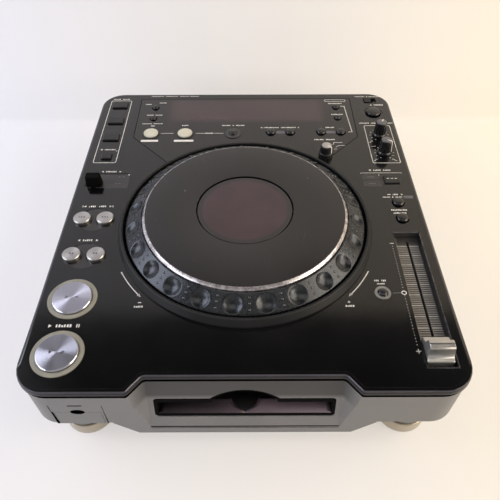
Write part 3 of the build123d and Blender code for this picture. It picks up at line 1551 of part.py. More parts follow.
# ---- rear connectors: three phono sockets and a control jack on one block ----
with BuildPart() as rear_jacks:
    with BuildSketch(Plane.XZ.offset(-block_y)):
        with Locations((bay_x, bay_z)):
            Rectangle(bay_w + 2 * wall, bay_h + 2 * wall)
    extrude(amount=jack_block_depth)
    with BuildSketch(Plane.XZ.offset(-block_y)):
        with Locations((bay_x - jack_pitch / 2, bay_z)):
            with GridLocations(jack_pitch, 0, 3, 1):
                Circle(rca_r)
    extrude(amount=-rca_len)
    with BuildSketch(Plane.XZ.offset(-block_y)):
        with Locations((bay_x + 1.5 * jack_pitch, bay_z)):
            Circle(mini_collar_r)
    extrude(amount=-mini_collar_len)
    with BuildSketch(Plane.XZ.offset(-block_y - rca_len)):
        with Locations((bay_x - jack_pitch / 2, bay_z)):
            with GridLocations(jack_pitch, 0, 3, 1):
                Circle(rca_bore_r)
    extrude(amount=rca_len, mode=Mode.SUBTRACT)
    with BuildSketch(Plane.XZ.offset(-block_y - mini_collar_len)):
        with Locations((bay_x + 1.5 * jack_pitch, bay_z)):
            Circle(mini_jack_r)
    extrude(amount=mini_jack_len, mode=Mode.SUBTRACT)

rear_jacks.part.label = "rear_jacks"
export_step(rear_jacks.part, "parts/rear_jacks.step")

# ---- mains inlet with two pins ----
with BuildPart() as ac_inlet:
    with BuildSketch(Plane.XZ.offset(-rear_face)):
        with Locations((inlet_x, bay_z)):
            Rectangle(*inlet_size)
    extrude(amount=inlet_depth + inlet_back_t)
    with BuildSketch(Plane.XZ.offset(-rear_face)):
        with Locations((inlet_x, bay_z)):
            Rectangle(*inlet_hole)
    extrude(amount=inlet_depth, mode=Mode.SUBTRACT)
    with BuildSketch(Plane.XZ.offset(inlet_depth - rear_face)):
        with Locations((inlet_x, bay_z)):
            with GridLocations(inlet_pin_pitch, 0, 2, 1):
                Rectangle(inlet_pin[0], inlet_pin[1])
    extrude(amount=-inlet_pin[2])

ac_inlet.part.label = "ac_inlet"
export_step(ac_inlet.part, "parts/ac_inlet.step")

# ---- power button ----
with BuildPart() as power_button:
    with BuildSketch(Plane.XZ.offset(-rear_face - power_proud)):
        with Locations((power_x, bay_z)):
            RectangleRounded(power_size[0], power_size[1], power_corner_r)
    extrude(amount=power_proud + wall + power_flange_t)
    with BuildSketch(Plane.XZ.offset(wall - rear_face)):
        with Locations((power_x, bay_z)):
            Rectangle(power_size[0] + 2 * power_flange_w, power_size[1] + 2 * power_flange_w)
    extrude(amount=power_flange_t)
    with BuildSketch(Plane.XZ.offset(wall - rear_face)):
        with Locations((power_x, bay_z)):
            Rectangle(power_stem_w, power_stem_w)
    extrude(amount=power_stem)

power_button.part.label = "power_button"
export_step(power_button.part, "parts/power_button.step")

# ---- main board and power supply on their standoffs ----
with BuildPart() as main_board:
    with BuildSketch(Plane.XY.offset(stand_z)):
        with Locations(main_board_at):
            Rectangle(main_board_w, main_board_l)
    extrude(amount=board_t)
    with BuildSketch(Plane.XY.offset(stand_z + board_t)):
        with Locations(main_board_at):
            with GridLocations(chip_pitch_x, chip_pitch_y, 3, 2):
                Rectangle(chip_size, chip_size)
    extrude(amount=chip_h)

main_board.part.label = "main_board"
export_step(main_board.part, "parts/main_board.step")

with BuildPart() as power_supply:
    with BuildSketch(Plane.XY.offset(stand_z)):
        with Locations(supply_at):
            Rectangle(supply_w, supply_l)
    extrude(amount=board_t)
    with BuildSketch(Plane.XY.offset(stand_z + board_t)):
        with Locations((supply_at[0] - supply_block_left, supply_at[1] - supply_block_front)):
            Rectangle(supply_block_w, supply_block_l)
    extrude(amount=supply_h)

power_supply.part.label = "power_supply"
export_step(power_supply.part, "parts/power_supply.step")
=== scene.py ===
from math import acos, atan2, cos, degrees, hypot, pi, radians, sin, sqrt, tan

import bmesh
import bpy
from mathutils import Matrix, Vector


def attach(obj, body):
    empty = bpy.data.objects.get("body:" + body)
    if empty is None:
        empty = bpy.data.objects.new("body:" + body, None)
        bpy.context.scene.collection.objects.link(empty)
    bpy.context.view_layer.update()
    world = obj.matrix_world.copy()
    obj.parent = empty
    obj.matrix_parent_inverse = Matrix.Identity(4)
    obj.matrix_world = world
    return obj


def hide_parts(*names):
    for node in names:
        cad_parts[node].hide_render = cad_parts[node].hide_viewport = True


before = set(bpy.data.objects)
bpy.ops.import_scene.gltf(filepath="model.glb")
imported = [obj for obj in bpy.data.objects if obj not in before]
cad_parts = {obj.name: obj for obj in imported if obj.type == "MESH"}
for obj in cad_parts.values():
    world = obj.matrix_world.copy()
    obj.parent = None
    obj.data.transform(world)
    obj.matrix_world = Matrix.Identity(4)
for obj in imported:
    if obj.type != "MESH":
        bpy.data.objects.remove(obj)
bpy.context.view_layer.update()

scene = bpy.context.scene
scene.view_settings.view_transform = "Standard"
mm = 0.001
jogAxis = Vector((0.0, -23.9, 87.0))  # middle of the jog wheel, level with the control panel
panelTop = 87.0

# camera, at the height and slant of someone standing at the player
cameraSet = {
    "place": (4.18, -350.65, 413.96),
    "pitch": 47.953,
    "yaw": 0.004,
    "roll": -0.209,
    "lens": 37.889,
}


def placeCamera(row):
    pitch, yaw, roll = (radians(row[k]) for k in ("pitch", "yaw", "roll"))
    look = Vector((sin(yaw) * cos(pitch), cos(yaw) * cos(pitch), -sin(pitch)))
    side = look.cross(Vector((0, 0, 1))).normalized()
    top = side.cross(look)
    across = side * cos(roll) + top * sin(roll)
    upward = top * cos(roll) - side * sin(roll)
    data = bpy.data.cameras.new("camera")
    data.sensor_width = 36
    data.lens = row["lens"]
    data.clip_start = 0.01
    camera = bpy.data.objects.new("camera", data)
    scene.collection.objects.link(camera)
    turn = Matrix((across, upward, -look)).transposed()
    camera.matrix_world = Matrix.Translation(Vector(row["place"]) * mm) @ turn.to_4x4()
    scene.camera = camera


placeCamera(cameraSet)
print("camera stands")


def linear(code):
    parts = [int(code[i:i + 2], 16) / 255 for i in (1, 3, 5)]
    return [c / 12.92 if c <= 0.04045 else ((c + 0.055) / 1.055) ** 2.4 for c in parts] + [1.0]


# adds one shader node, sets it, and links the inputs that are given as sockets or as nodes,
# where a node stands for its first output
def addNode(tree, kind, inputs=None, **settings):
    node = tree.nodes.new("ShaderNode" + kind)
    for key, value in settings.items():
        setattr(node, key, value)
    for socket, value in (inputs or {}).items():
        if isinstance(value, bpy.types.Node):
            value = value.outputs[0]
        if isinstance(value, bpy.types.NodeSocket):
            tree.links.new(value, node.inputs[socket])
        else:
            node.inputs[socket].default_value = value
    return node


materials = {}


def newMaterial(name):
    materials[name] = bpy.data.materials.new(name)
    materials[name].use_nodes = True
    materials[name].node_tree.nodes.clear()
    return materials[name].node_tree


# a colour ramp from (position, hex) pairs
def setRamp(node, stops):
    ramp = node.color_ramp
    while len(ramp.elements) < len(stops):
        ramp.elements.new(0.5)
    for element, (place, colour) in zip(ramp.elements, stops):
        element.position = place
        element.color = linear(colour)


# noise in soft patches, with a colour ramp and a roughness that follow it
def addCloud(tree, vector, scale, look, stops=(0.35, 0.65), fades=(0.3, 0.7), **noise):
    cloud = addNode(tree, "TexNoise", {"Vector": vector, "Scale": scale, **noise})
    ramp = addNode(tree, "ValToRGB", {"Fac": cloud})
    setRamp(ramp, list(zip(stops, look["colours"])))
    rough = addNode(tree, "MapRange", {"Value": cloud, "From Min": fades[0], "From Max": fades[1],
        "To Min": look["roughness"][0], "To Max": look["roughness"][1]})
    return cloud, ramp, rough


# fine grain of a surface, as a bump
def addGrain(tree, place, grainMm, strength, depth):
    grain = addNode(tree, "TexNoise", {"Vector": place, "Scale": 1000 / grainMm, "Detail": 2.0})
    return addNode(tree, "Bump", {"Height": grain, "Strength": strength, "Distance": depth})


# dust: round specks of one tone in some cells of a pattern, laid over a colour
def addSpecks(tree, place, colour, cellMm, share, tone, edge, strength):
    cells = addNode(tree, "TexVoronoi", {"Vector": place, "Scale": 1000 / cellMm})
    near = addNode(tree, "MapRange", {"Value": cells, "From Min": edge[0], "From Max": edge[1],
        "To Min": strength, "To Max": 0.0})
    chance = addNode(tree, "Math", {0: cells.outputs["Color"], 1: 1 - share}, operation="GREATER_THAN")
    speck = addNode(tree, "Math", {0: near, 1: chance}, operation="MULTIPLY")
    return addNode(tree, "Mix", {"Factor": speck, 6: colour, 7: linear(tone)},
                   data_type="RGBA").outputs[2]


# what a finish has unless its row says otherwise, and how worn edges and dust look on all of them
plainLook = {"patchMm": 4, "grainMm": 0.5, "grainStrength": 0.1}
wearSet = {"edge": (0.995, 0.86), "scuffMm": 5.0, "broken": (0.42, 0.62)}
dustSet = {"tone": "#9a9792", "edge": (0.05, 0.09), "strength": 0.45}


# General finish: two close colours in soft patches, roughness that varies, a fine grain,
# dust, and edges that are worn lighter. Sizes in millimetres.
def makeFinish(name, row):
    look = {**plainLook, **row}
    tree = newMaterial(name)
    place = addNode(tree, "TexCoord").outputs["Object"]
    _, colour, rough = addCloud(tree, place, 1000 / look["patchMm"], look, Detail=4.0, Roughness=0.6)
    if "wear" in look:
        # convex edges, found by how far a rounded normal leaves the true one
        rounded = addNode(tree, "Bevel", {"Radius": look["wearMm"] * mm}, samples=4)
        true = addNode(tree, "NewGeometry")
        dot = addNode(tree, "VectorMath", {0: rounded, 1: true.outputs["Normal"]},
                      operation="DOT_PRODUCT")
        scuffs = addNode(tree, "TexNoise", {
            "Vector": place, "Scale": 1000 / wearSet["scuffMm"], "Detail": 6.0})
        edge, broken = (addNode(tree, "MapRange", {"Value": source, "From Min": low, "From Max": high})
            for source, (low, high) in ((dot.outputs["Value"], wearSet["edge"]),
                                        (scuffs, wearSet["broken"])))
        worn = addNode(tree, "Math", {0: edge, 1: broken}, operation="MULTIPLY")
        colour = addNode(tree, "Mix", {
            "Factor": worn, 6: colour, 7: linear(look["wear"])}, data_type="RGBA").outputs[2]
    if "paintedRecessShade" in look:
        # painted shade inside the front recess: the lacquer's colour is darkened there
        box = look["paintedRecessShade"]
        axes = addNode(tree, "SeparateXYZ", {"Vector": place})
        middle = addNode(tree, "Math", {0: axes.outputs["X"]}, operation="ABSOLUTE")
        share = None
        for source, (low, high) in ((middle, box["x"]), (axes.outputs["Z"], box["z"]),
                                    (axes.outputs["Y"], box["y"])):
            inside = addNode(tree, "MapRange", {
                "Value": source, "From Min": low * mm, "From Max": high * mm})
            share = inside if share is None else addNode(
                tree, "Math", {0: share, 1: inside}, operation="MULTIPLY")
        colour = addNode(tree, "Mix", {"Factor": share, 6: colour, 7: linear(box["colour"])},
                         data_type="RGBA").outputs[2]
    if "dust" in look:
        colour = addSpecks(tree, place, colour, look["dustMm"], look["dust"], dustSet["tone"],
                           dustSet["edge"], dustSet["strength"])
    bump = addGrain(tree, place, look["grainMm"], look["grainStrength"], look["grainMm"] * 0.15 * mm)
    if "softMm" in look:
        softened = addNode(tree, "Bevel", {"Radius": look["softMm"] * mm}, samples=4)
        tree.links.new(softened.outputs["Normal"], bump.inputs["Normal"])
    inputs = {"Base Color": colour, "Roughness": rough, "Normal": bump, "Metallic": look.get("metallic", 0.0)}
    for socket, key in (("IOR", "ior"), ("Specular IOR Level", "specular")):
        if key in look:
            inputs[socket] = look[key]
    shader = addNode(tree, "BsdfPrincipled", inputs)
    addNode(tree, "OutputMaterial", {"Surface": shader})


def makeFinishes(rows):
    for name, row in rows.items():
        makeFinish(name, row)


makeFinishes({
    # ABS panel polished in the mould: deep black, sharp reflections, a little dust
    "polishedBlackAbs": {"colours": ("#060607", "#09090a"), "roughness": (0.1, 0.16), "patchMm": 60,
        "grainMm": 0.9, "grainStrength": 0.04, "ior": 1.57, "dust": 0.05, "dustMm": 7, "softMm": 0.35},
    # ABS sprayed with metallic lacquer: satin grey with a fine flake
    "metallicGreyLacquer": {"colours": ("#757576", "#7d7c7d"), "roughness": (0.36, 0.44), "patchMm": 35,
        "grainStrength": 0.25, "metallic": 0.55, "wear": "#9d9c9a", "wearMm": 0.8, "softMm": 0.7,
        # box in the front recess where the colour is darkened as painted shade
        "paintedRecessShade": {"x": (81.0, 70.0), "z": (60.0, 64.0), "y": (-150.0, -160.0), "colour": "#4c4b4c"}},
    # the same lacquer in dark gunmetal on the rim, lightened as a painted highlight on its upper bend
    "gunmetalLacquer": {"colours": ("#47454d", "#514f57"), "roughness": (0.18, 0.25), "patchMm": 30,
        "metallic": 0.6},
    # the same coat under the bend, darkened as painted shade
    "thinGunmetalLacquer": {"colours": ("#1c1b1f", "#252428"), "roughness": (0.22, 0.3), "patchMm": 30,
        "metallic": 0.5, "specular": 0.35},
    # painted shade for unlit gaps between mouldings: black, no sheen at all
    "shadowGap": {"colours": ("#020202", "#040404"), "roughness": (0.85, 0.95), "patchMm": 12,
        "grainMm": 0.6, "specular": 0.0},
    # ABS straight from a textured mould: matt black with a fine pebble
    "texturedBlackAbs": {"colours": ("#0f0f11", "#151517"), "roughness": (0.42, 0.55), "patchMm": 20,
        "grainMm": 0.6, "grainStrength": 0.35, "ior": 1.5, "specular": 0.35, "wear": "#303030",
        "wearMm": 0.4, "softMm": 0.3},
    # the same ABS, dull, darkened and stripped of nearly all its sheen as painted shade of a deep frame
    "dullBlackAbs": {"colours": ("#050505", "#080808"), "roughness": (0.62, 0.74), "patchMm": 16,
        "grainMm": 0.6, "grainStrength": 0.3, "ior": 1.5, "specular": 0.06},
    # flat ABS keys with a fine spark texture: satin, a little duller than the panel round them
    "satinKeyAbs": {"colours": ("#0f0f10", "#141415"), "roughness": (0.32, 0.4), "patchMm": 8,
        "grainStrength": 0.15, "ior": 1.5, "wear": "#4a4a4b", "wearMm": 0.4, "softMm": 0.8},
    # domed caps of the small keys, satin from the mould
    "domedCapAbs": {"colours": ("#17171a", "#1e1e21"), "roughness": (0.22, 0.3), "patchMm": 6,
        "grainStrength": 0.08, "ior": 1.52},
    # grey moulded discs let into the knobs
    "greyKnobInsert": {"colours": ("#4b4b50", "#57575c"), "roughness": (0.3, 0.4), "patchMm": 5,
        "grainStrength": 0.15, "ior": 1.5},
    # black ABS caps polished by fingers
    "polishedCapAbs": {"colours": ("#0b0b0c", "#111112"), "roughness": (0.1, 0.18), "patchMm": 8,
        "ior": 1.5, "wear": "#4a4a4a", "wearMm": 0.35, "softMm": 0.3},
    # silver lacquer on a moulded cap, satin with faint orange peel
    "silverLacquer": {"colours": ("#a9a8a6", "#b6b4b1"), "roughness": (0.26, 0.36), "patchMm": 9,
        "grainMm": 0.8, "grainStrength": 0.15, "metallic": 0.8, "wear": "#6b6966", "wearMm": 0.4,
        "softMm": 0.35},
    # off-white acetal caps, slightly yellowed
    "paleAcetal": {"colours": ("#b9b6a6", "#c3c0b1"), "roughness": (0.38, 0.48), "patchMm": 6,
        "grainMm": 0.6, "grainStrength": 0.12, "ior": 1.48, "wear": "#8f8b7c", "wearMm": 0.4,
        "softMm": 0.4},
    # natural acetal gears
    "naturalAcetal": {"colours": ("#dcd9cf", "#e6e3da"), "roughness": (0.34, 0.42), "patchMm": 9,
        "grainMm": 0.6, "ior": 1.48},
    # zinc plated sheet steel
    "zincSteel": {"colours": ("#9a9b98", "#b0b0ac"), "roughness": (0.28, 0.42), "patchMm": 14,
        "grainMm": 0.7, "grainStrength": 0.2, "metallic": 1.0},
    # green solder resist over glass fibre
    "solderResist": {"colours": ("#14402a", "#1b4d33"), "roughness": (0.22, 0.34), "patchMm": 12,
        "grainMm": 0.8, "grainStrength": 0.2, "ior": 1.55},
    # moulded rubber of the foot pads and the roller
    "mouldedRubber": {"colours": ("#141413", "#1c1b1a"), "roughness": (0.68, 0.82), "patchMm": 10,
        "grainMm": 0.7, "grainStrength": 0.4, "ior": 1.52, "wear": "#3a3937", "wearMm": 0.5},
    # grey lacquer with coarse flake on the dial, polished by fingers; its edges worn lighter, partly real
    # wear and partly a painted highlight along the dimple rims
    "flakedDialLacquer": {"colours": ("#303236", "#3b3d40"), "roughness": (0.22, 0.32), "patchMm": 2.6,
        "grainMm": 0.9, "grainStrength": 0.28, "metallic": 0.8, "wear": "#85868a", "wearMm": 0.8},
    # bare tops of the grip studs, rubbed bright
    "rubbedStudLacquer": {"colours": ("#4b4d51", "#5b5d61"), "roughness": (0.16, 0.24), "patchMm": 2.0,
        "grainMm": 0.6, "metallic": 0.85},
})
print("general finishes made:", len(materials))


# ring of the printed sheet: satin black film with dust and hair scratches
def makePrintedSheet(name, look):
    tree = newMaterial(name)
    place = addNode(tree, "TexCoord").outputs["Object"]
    _, colour, rough = addCloud(tree, place, 1000 / look["cloudMm"], look, (0.3, 0.7), Detail=5.0)
    # scratches: long thin lines along the borders of stretched cells, in some patches only
    scratch = look["scratch"]
    stretched = addNode(tree, "Mapping", {"Vector": place, "Rotation": (0, 0, scratch["turn"]),
                                          "Scale": (1, scratch["stretch"], 1)})
    cells = addNode(tree, "TexVoronoi", {
        "Vector": stretched, "Scale": 1000 / scratch["cellMm"]}, feature="DISTANCE_TO_EDGE")
    line = addNode(tree, "MapRange", {"Value": cells, "From Min": 0.0, "From Max": scratch["width"],
        "To Min": 1.0, "To Max": 0.0})
    patch = addNode(tree, "TexNoise", {"Vector": place, "Scale": 1000 / scratch["patchMm"], "Detail": 1.0})
    some = addNode(tree, "MapRange", {"Value": patch, "From Min": 0.6, "From Max": 0.72,
        "To Min": 0.0, "To Max": scratch["strength"]})
    share = addNode(tree, "Math", {0: line, 1: some}, operation="MULTIPLY")
    colour = addNode(tree, "Mix", {"Factor": share, 6: colour, 7: linear(scratch["tone"])},
                     data_type="RGBA").outputs[2]
    for cellMm, chance, tone in look["dust"]:
        colour = addSpecks(tree, place, colour, cellMm, chance, tone, look["dustEdge"], look["dustStrength"])
    bump = addGrain(tree, place, look["grainMm"], 0.2, 0.06 * mm)
    shader = addNode(tree, "BsdfPrincipled", {
        "Base Color": colour, "Roughness": rough, "Normal": bump, "IOR": 1.5})
    addNode(tree, "OutputMaterial", {"Surface": shader})


# object out of points in millimetres
def newObject(name, points, faces, finishes):
    data = bpy.data.meshes.new(name)
    data.from_pydata([(x * mm, y * mm, z * mm) for x, y, z in points], [], faces)
    for finish in finishes:
        data.materials.append(materials[finish])
    piece = bpy.data.objects.new(name, data)
    scene.collection.objects.link(piece)
    return piece


def meshPiece(name, points, faces, finish, body="chassis", smooth=True, angle=35):
    piece = newObject(name, points, faces, finish if isinstance(finish, list) else [finish])
    data = piece.data
    data.validate()
    sheet = bmesh.new()
    sheet.from_mesh(data)
    bmesh.ops.recalc_face_normals(sheet, faces=sheet.faces)
    sheet.to_mesh(data)
    sheet.free()
    data.polygons.foreach_set("use_smooth", [smooth] * len(data.polygons))
    if smooth:
        data.set_sharp_from_angle(angle=radians(angle))
    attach(piece, body)
    return piece


# faces between two loops of n points each
def bandFaces(low, high, n):
    return [(low + i, low + (i + 1) % n, high + (i + 1) % n, high + i) for i in range(n)]


# faces of a turned body, between outlines of count points each
def turnedFaces(steps, count, closed=True):
    faces = []
    for i in range(steps):
        j = (i + 1) % steps
        for k in range(count if closed else count - 1):
            m = (k + 1) % count
            faces.append((i * count + k, j * count + k, j * count + m, i * count + m))
    return faces


# turned piece: outline of (radius, height) pairs round an upright axis, closed on itself
def turnedMesh(outline, centre, steps, closed=True):
    points = []
    for i in range(steps):
        a = 2 * pi * i / steps
        for r, z in outline:
            points.append((centre[0] + r * cos(a), centre[1] + r * sin(a), centre[2] + z))
    return points, turnedFaces(steps, len(outline), closed)


# one mesh out of several
def joinMeshes(meshes):
    points, faces = [], []
    for more, quads in meshes:
        faces += [tuple(len(points) + k for k in quad) for quad in quads]
        points += more
    return points, faces


# finger dial: flaked lacquer, turned body with moulded finger dimples and small grip studs
dialSet = {
    "outerR": 103.0, "lipZ": 6.0, "topR": 88.6, "topZ": 15.4,
    # inside of the web and hub, from the top inner edge down and round to the lip
    "underside": ((88.1, 15.4), (88.1, 4.0), (39.5, 4.0), (39.5, 11.0), (36.3, 11.0), (36.3, -11.0),
                  (39.5, -11.0), (39.5, 1.0), (88.1, 1.0), (88.1, -4.0), (91.1, -4.0), (91.1, 7.7),
                  (100.0, 1.9), (100.0, -4.0), (103.0, -4.0)),
    "dimples": 24, "startDeg": 9.8, "ballR": 12.6, "depth": 2.45, "stepsPerDimple": 36, "rows": 26,
    "lipSteps": 4, "faceFrom": 0.055, "rimReach": 1.2, "rimSoft": 0.004,
    # studs: radii from the axis, then each dome as loops of (share of its radius, height) and its top
    "studR": 1.1, "studAt": (91.6, 95.4, 99.4), "studLoops": ((1.0, -0.18), (0.86, 0.384), (0.5, 0.66)),
    "studTop": 0.744, "studSteps": 10,
}


def makeDial(row):
    run = row["outerR"] - row["topR"]
    rise = row["topZ"] - row["lipZ"]
    length = hypot(run, rise)
    midR = (row["outerR"] + row["topR"]) / 2
    reach = sqrt(2 * row["ballR"] * row["depth"] - row["depth"] ** 2)
    steps = row["dimples"] * row["stepsPerDimple"]
    face = []
    for i in range(row["rows"] + 1):
        share = row["faceFrom"] + (1 - row["faceFrom"]) * i / row["rows"]
        face.append((row["outerR"] - run * share, row["lipZ"] + rise * share))
    rounded = []
    for i in range(row["lipSteps"]):
        a = i / row["lipSteps"]
        edge = Vector((row["outerR"], row["lipZ"] - 1.0)).lerp(Vector((row["outerR"], row["lipZ"])), a)
        slant = Vector((row["outerR"], row["lipZ"])).lerp(Vector(face[0]), a)
        rounded.append(tuple(edge.lerp(slant, a)))
    outline = list(row["underside"]) + rounded + face
    plain = len(outline) - len(face)
    nr, nz = rise / length, run / length
    pitch = 360 / row["dimples"]
    points = []
    for i in range(steps):
        a = 2 * pi * i / steps
        phase = (degrees(a) - row["startDeg"]) % pitch
        off = radians(min(phase, pitch - phase))
        for k, (r, z) in enumerate(outline):
            if k >= plain:
                gap = hypot(r * sin(off), (midR - r) * length / run)
                sink = sqrt(max(row["ballR"] ** 2 - gap ** 2, 0)) - (row["ballR"] - row["depth"])
                # the rim of each dimple is softened over half a millimetre
                sink = 0.5 * (sink + sqrt(sink * sink + row["rimSoft"]))
                if gap > reach + row["rimReach"]:
                    sink = 0.0
                r, z = r - nr * sink, z - nz * sink
            points.append((r * cos(a), jogAxis.y + r * sin(a), jogAxis.z + z))
    faces = turnedFaces(steps, len(outline))
    dial = meshPiece("fingerDial", points, faces, "flakedDialLacquer", "jog_dial", angle=50)
    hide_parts("jog_dial")
    # grip studs: three small domes between each pair of dimples
    points, faces = [], []
    for i in range(row["dimples"]):
        a = radians(row["startDeg"] + pitch * (i + 0.5))
        for r in row["studAt"]:
            z = row["lipZ"] + rise * (row["outerR"] - r) / run
            centre = Vector((r * cos(a), jogAxis.y + r * sin(a), jogAxis.z + z))
            normal = Vector((nr * cos(a), nr * sin(a), nz))
            side = Vector((-sin(a), cos(a), 0))
            other = normal.cross(side)
            base, n = len(points), row["studSteps"]
            for wide, high in row["studLoops"]:
                for q in range(n):
                    b = 2 * pi * q / n
                    spot = centre + (side * cos(b) + other * sin(b)) * row["studR"] * wide
                    points.append(spot + normal * high)
            points.append(centre + normal * row["studTop"])
            faces += bandFaces(base, base + n, n) + bandFaces(base + n, base + 2 * n, n)
            faces += [(base + 2 * n + q, base + 2 * n + (q + 1) % n, base + 3 * n) for q in range(n)]
            faces.append(tuple(base + n - 1 - q for q in range(n)))
    meshPiece("gripStuds", points, faces, "rubbedStudLacquer", "jog_dial", angle=80)


makeDial(dialSet)
print("finger dial made")

# touch plate: machined aluminium disc, its bevel bare and handled, a printed sheet on top
plateSet = {"outerR": 87.3, "top": 18.0, "bevelW": 2.1, "bevelH": 1.7, "holeR": 41.3, "sheetT": 0.12,
            "sheetGap": 0.35}


def makeBareBevel(name, look):
    tree = newMaterial(name)
    place = addNode(tree, "TexCoord").outputs["Object"]
    wear, colour, rough = addCloud(tree, place, 1000 / look["wearMm"], look, (0.36, 0.5, 0.66), (0.35, 0.65),
                                   Detail=8.0, Roughness=0.65)
    bump = addNode(tree, "Bump", {"Height": wear, "Strength": 0.25, "Distance": 0.2 * mm})
    shader = addNode(tree, "BsdfPrincipled", {
        "Base Color": colour, "Roughness": rough, "Metallic": 0.9, "Normal": bump})
    addNode(tree, "OutputMaterial", {"Surface": shader})


# bare machined aluminium, pitted and greased by hands
makeBareBevel("handledAluminium", {
    "colours": ("#8d878a", "#b5b0b3", "#d6d2d4"), "roughness": (0.22, 0.32), "wearMm": 5.0})
# screen printed polyester sheet, satin black with dust and hair scratches
makePrintedSheet("printedPolyester", {
    "colours": ("#1c1a1b", "#232122"), "cloudMm": 60, "grainMm": 0.6,
    "scratch": {"turn": 0.7, "stretch": 0.12, "cellMm": 16, "width": 0.006, "patchMm": 22.0, "strength": 0.16,
                "tone": "#8d8b87"},
    # dust: size of its cells, share of them, tone
    "dust": ((3.2, 0.10, "#83807c"), (7.5, 0.16, "#a5a29d")), "dustEdge": (0.05, 0.10), "dustStrength": 0.7,
    "roughness": (0.30, 0.40)})


def makePlate(row):
    out, top = row["outerR"], row["top"]
    hole = row["holeR"]
    body = [(hole + 0.45, top - 4.0), (hole + 1.5, top - 4.0), (hole + 1.5, 4.6), (hole + 4.5, 4.6),
            (hole + 4.5, top - 4.0), (out - 3.0, top - 4.0), (out - 3.0, 4.6), (out, 4.6),
            (out, top - row["bevelH"] - 0.15), (out - 0.08, top - row["bevelH"]),
            (out - row["bevelW"] + 0.25, top - 0.12), (out - row["bevelW"], top - row["sheetT"]),
            (hole + 0.45, top - row["sheetT"])]
    points, faces = turnedMesh(body, jogAxis, 288)
    plate = meshPiece("touchPlateBody", points, faces, "handledAluminium", "jog_plate")
    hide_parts("jog_plate")
    # the liner darkens the wall of the centre hole as painted shade
    liner = [(hole, top - 4.0), (hole + 0.4, top - 4.0), (hole + 0.4, top - 0.05), (hole, top - 0.3)]
    points, faces = turnedMesh(liner, jogAxis, 192)
    meshPiece("centreHoleLiner", points, faces, "dullBlackAbs", "jog_plate")
    edge = out - row["bevelW"] - row["sheetGap"]
    sheet = [(hole + 0.5, top - row["sheetT"]), (edge, top - row["sheetT"]), (edge, top - 0.02),
             (edge - 0.1, top), (hole + 0.6, top), (hole + 0.5, top - 0.02)]
    points, faces = turnedMesh(sheet, jogAxis, 288)
    meshPiece("touchPlateSheet", points, faces, "printedPolyester", "jog_plate")


makePlate(plateSet)
print("touch plate made")

# feet: champagne lacquered turned bodies under round bosses of the case, on rubber pads
footSet = {"x": 127.0, "y": 156.5, "r": 20.0, "low": 1.0, "lipTop": 14.0, "gapR": 16.8, "bossLow": 16.3,
           "bossR": 19.3, "high": 24.0, "neckR": 15.0, "neckTop": 37.0, "padHoleR": 16.2}
# champagne lacquer on turned aluminium: satin, pale gold
makeFinishes({"champagneLacquer": {
    "colours": ("#aaa190", "#b1a898"), "roughness": (0.26, 0.34), "patchMm": 14, "grainStrength": 0.08,
    "metallic": 0.55, "ior": 1.5}})


def makeFeet(row):
    r, low, high = row["r"], row["low"], row["high"]
    foot = [(0.0, 3.0), (row["padHoleR"], 3.0), (row["padHoleR"], low), (r - 1.6, low)]
    for i in range(1, 6):
        a = pi / 2 * i / 5
        foot.append((r - 1.6 + 1.6 * sin(a), low + 1.6 - 1.6 * cos(a)))
    for i in range(6):
        a = pi / 2 * i / 5
        foot.append((r - 1.2 + 1.2 * cos(a), row["lipTop"] - 1.2 + 1.2 * sin(a)))
    foot.append((0.0, row["lipTop"]))
    # a black disc in the gap between each foot and its boss, painted shade
    gap = [(0.0, row["lipTop"] - 0.2), (row["gapR"], row["lipTop"] - 0.2),
           (row["gapR"], row["bossLow"] + 0.2), (0.0, row["bossLow"] + 0.2)]
    boss = [(0.0, row["bossLow"]), (row["bossR"] - 0.5, row["bossLow"]), (row["bossR"], row["bossLow"] + 0.5),
            (row["bossR"], high - 1.2), (row["bossR"] - 1.2, high), (row["neckR"], high),
            (row["neckR"], row["neckTop"]), (0.0, row["neckTop"])]
    for name, outline, finish in (("turnedFeet", foot, "champagneLacquer"), ("footGapShadows", gap, "shadowGap"),
                                  ("footBosses", boss, "metallicGreyLacquer")):
        points, faces = joinMeshes([turnedMesh(outline, (sx * row["x"], sy * row["y"], 0.0), 72, closed=False)
                                    for sx in (-1, 1) for sy in (-1, 1)])
        piece = meshPiece(name, points, faces, finish)
        if name == "turnedFeet":
            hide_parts("feet")


makeFeet(footSet)
print("feet made")

# rim round the panel: black lip, rounded bead lighter on its upper bend as painted highlight and darker below
# as painted shade, and a black painted shadow in the seam down to the case
rimSet = {
    "half": (160.0, 185.0), "cornerR": 23.0,
    "stepBack": 12.5, "stepHalf": 70.5, "stepRun": 10.0, "stepR": 4.0,
    # inset on the sides and rear, inset along the front, height, finish of the strip up to the next point
    "section": ((3.3, 3.3, 86.98, "polishedBlackAbs"), (3.3, 3.3, 87.03, "polishedBlackAbs"),
                (2.65, 1.2, 87.03, "polishedBlackAbs"), (2.5, 1.08, 86.88, "gunmetalLacquer"),
                (1.95, 0.9, 86.9, "gunmetalLacquer"), (1.3, 0.62, 86.6, "gunmetalLacquer"),
                (0.75, 0.36, 85.9, "thinGunmetalLacquer"), (0.35, 0.17, 84.9, "thinGunmetalLacquer"),
                (0.1, 0.05, 83.7, "thinGunmetalLacquer"), (0.0, 0.0, 82.5, "shadowGap"),
                (0.05, 0.05, 81.5, "shadowGap"), (0.6, 0.6, 80.4, "shadowGap"),
                (1.15, 1.15, 79.8, "shadowGap"), (1.15, 1.15, 77.5, "shadowGap"),
                (3.3, 3.3, 77.5, "shadowGap")),
    # the inset changes from side to front between these two places along y
    "blend": (-110.0, -160.0),
}


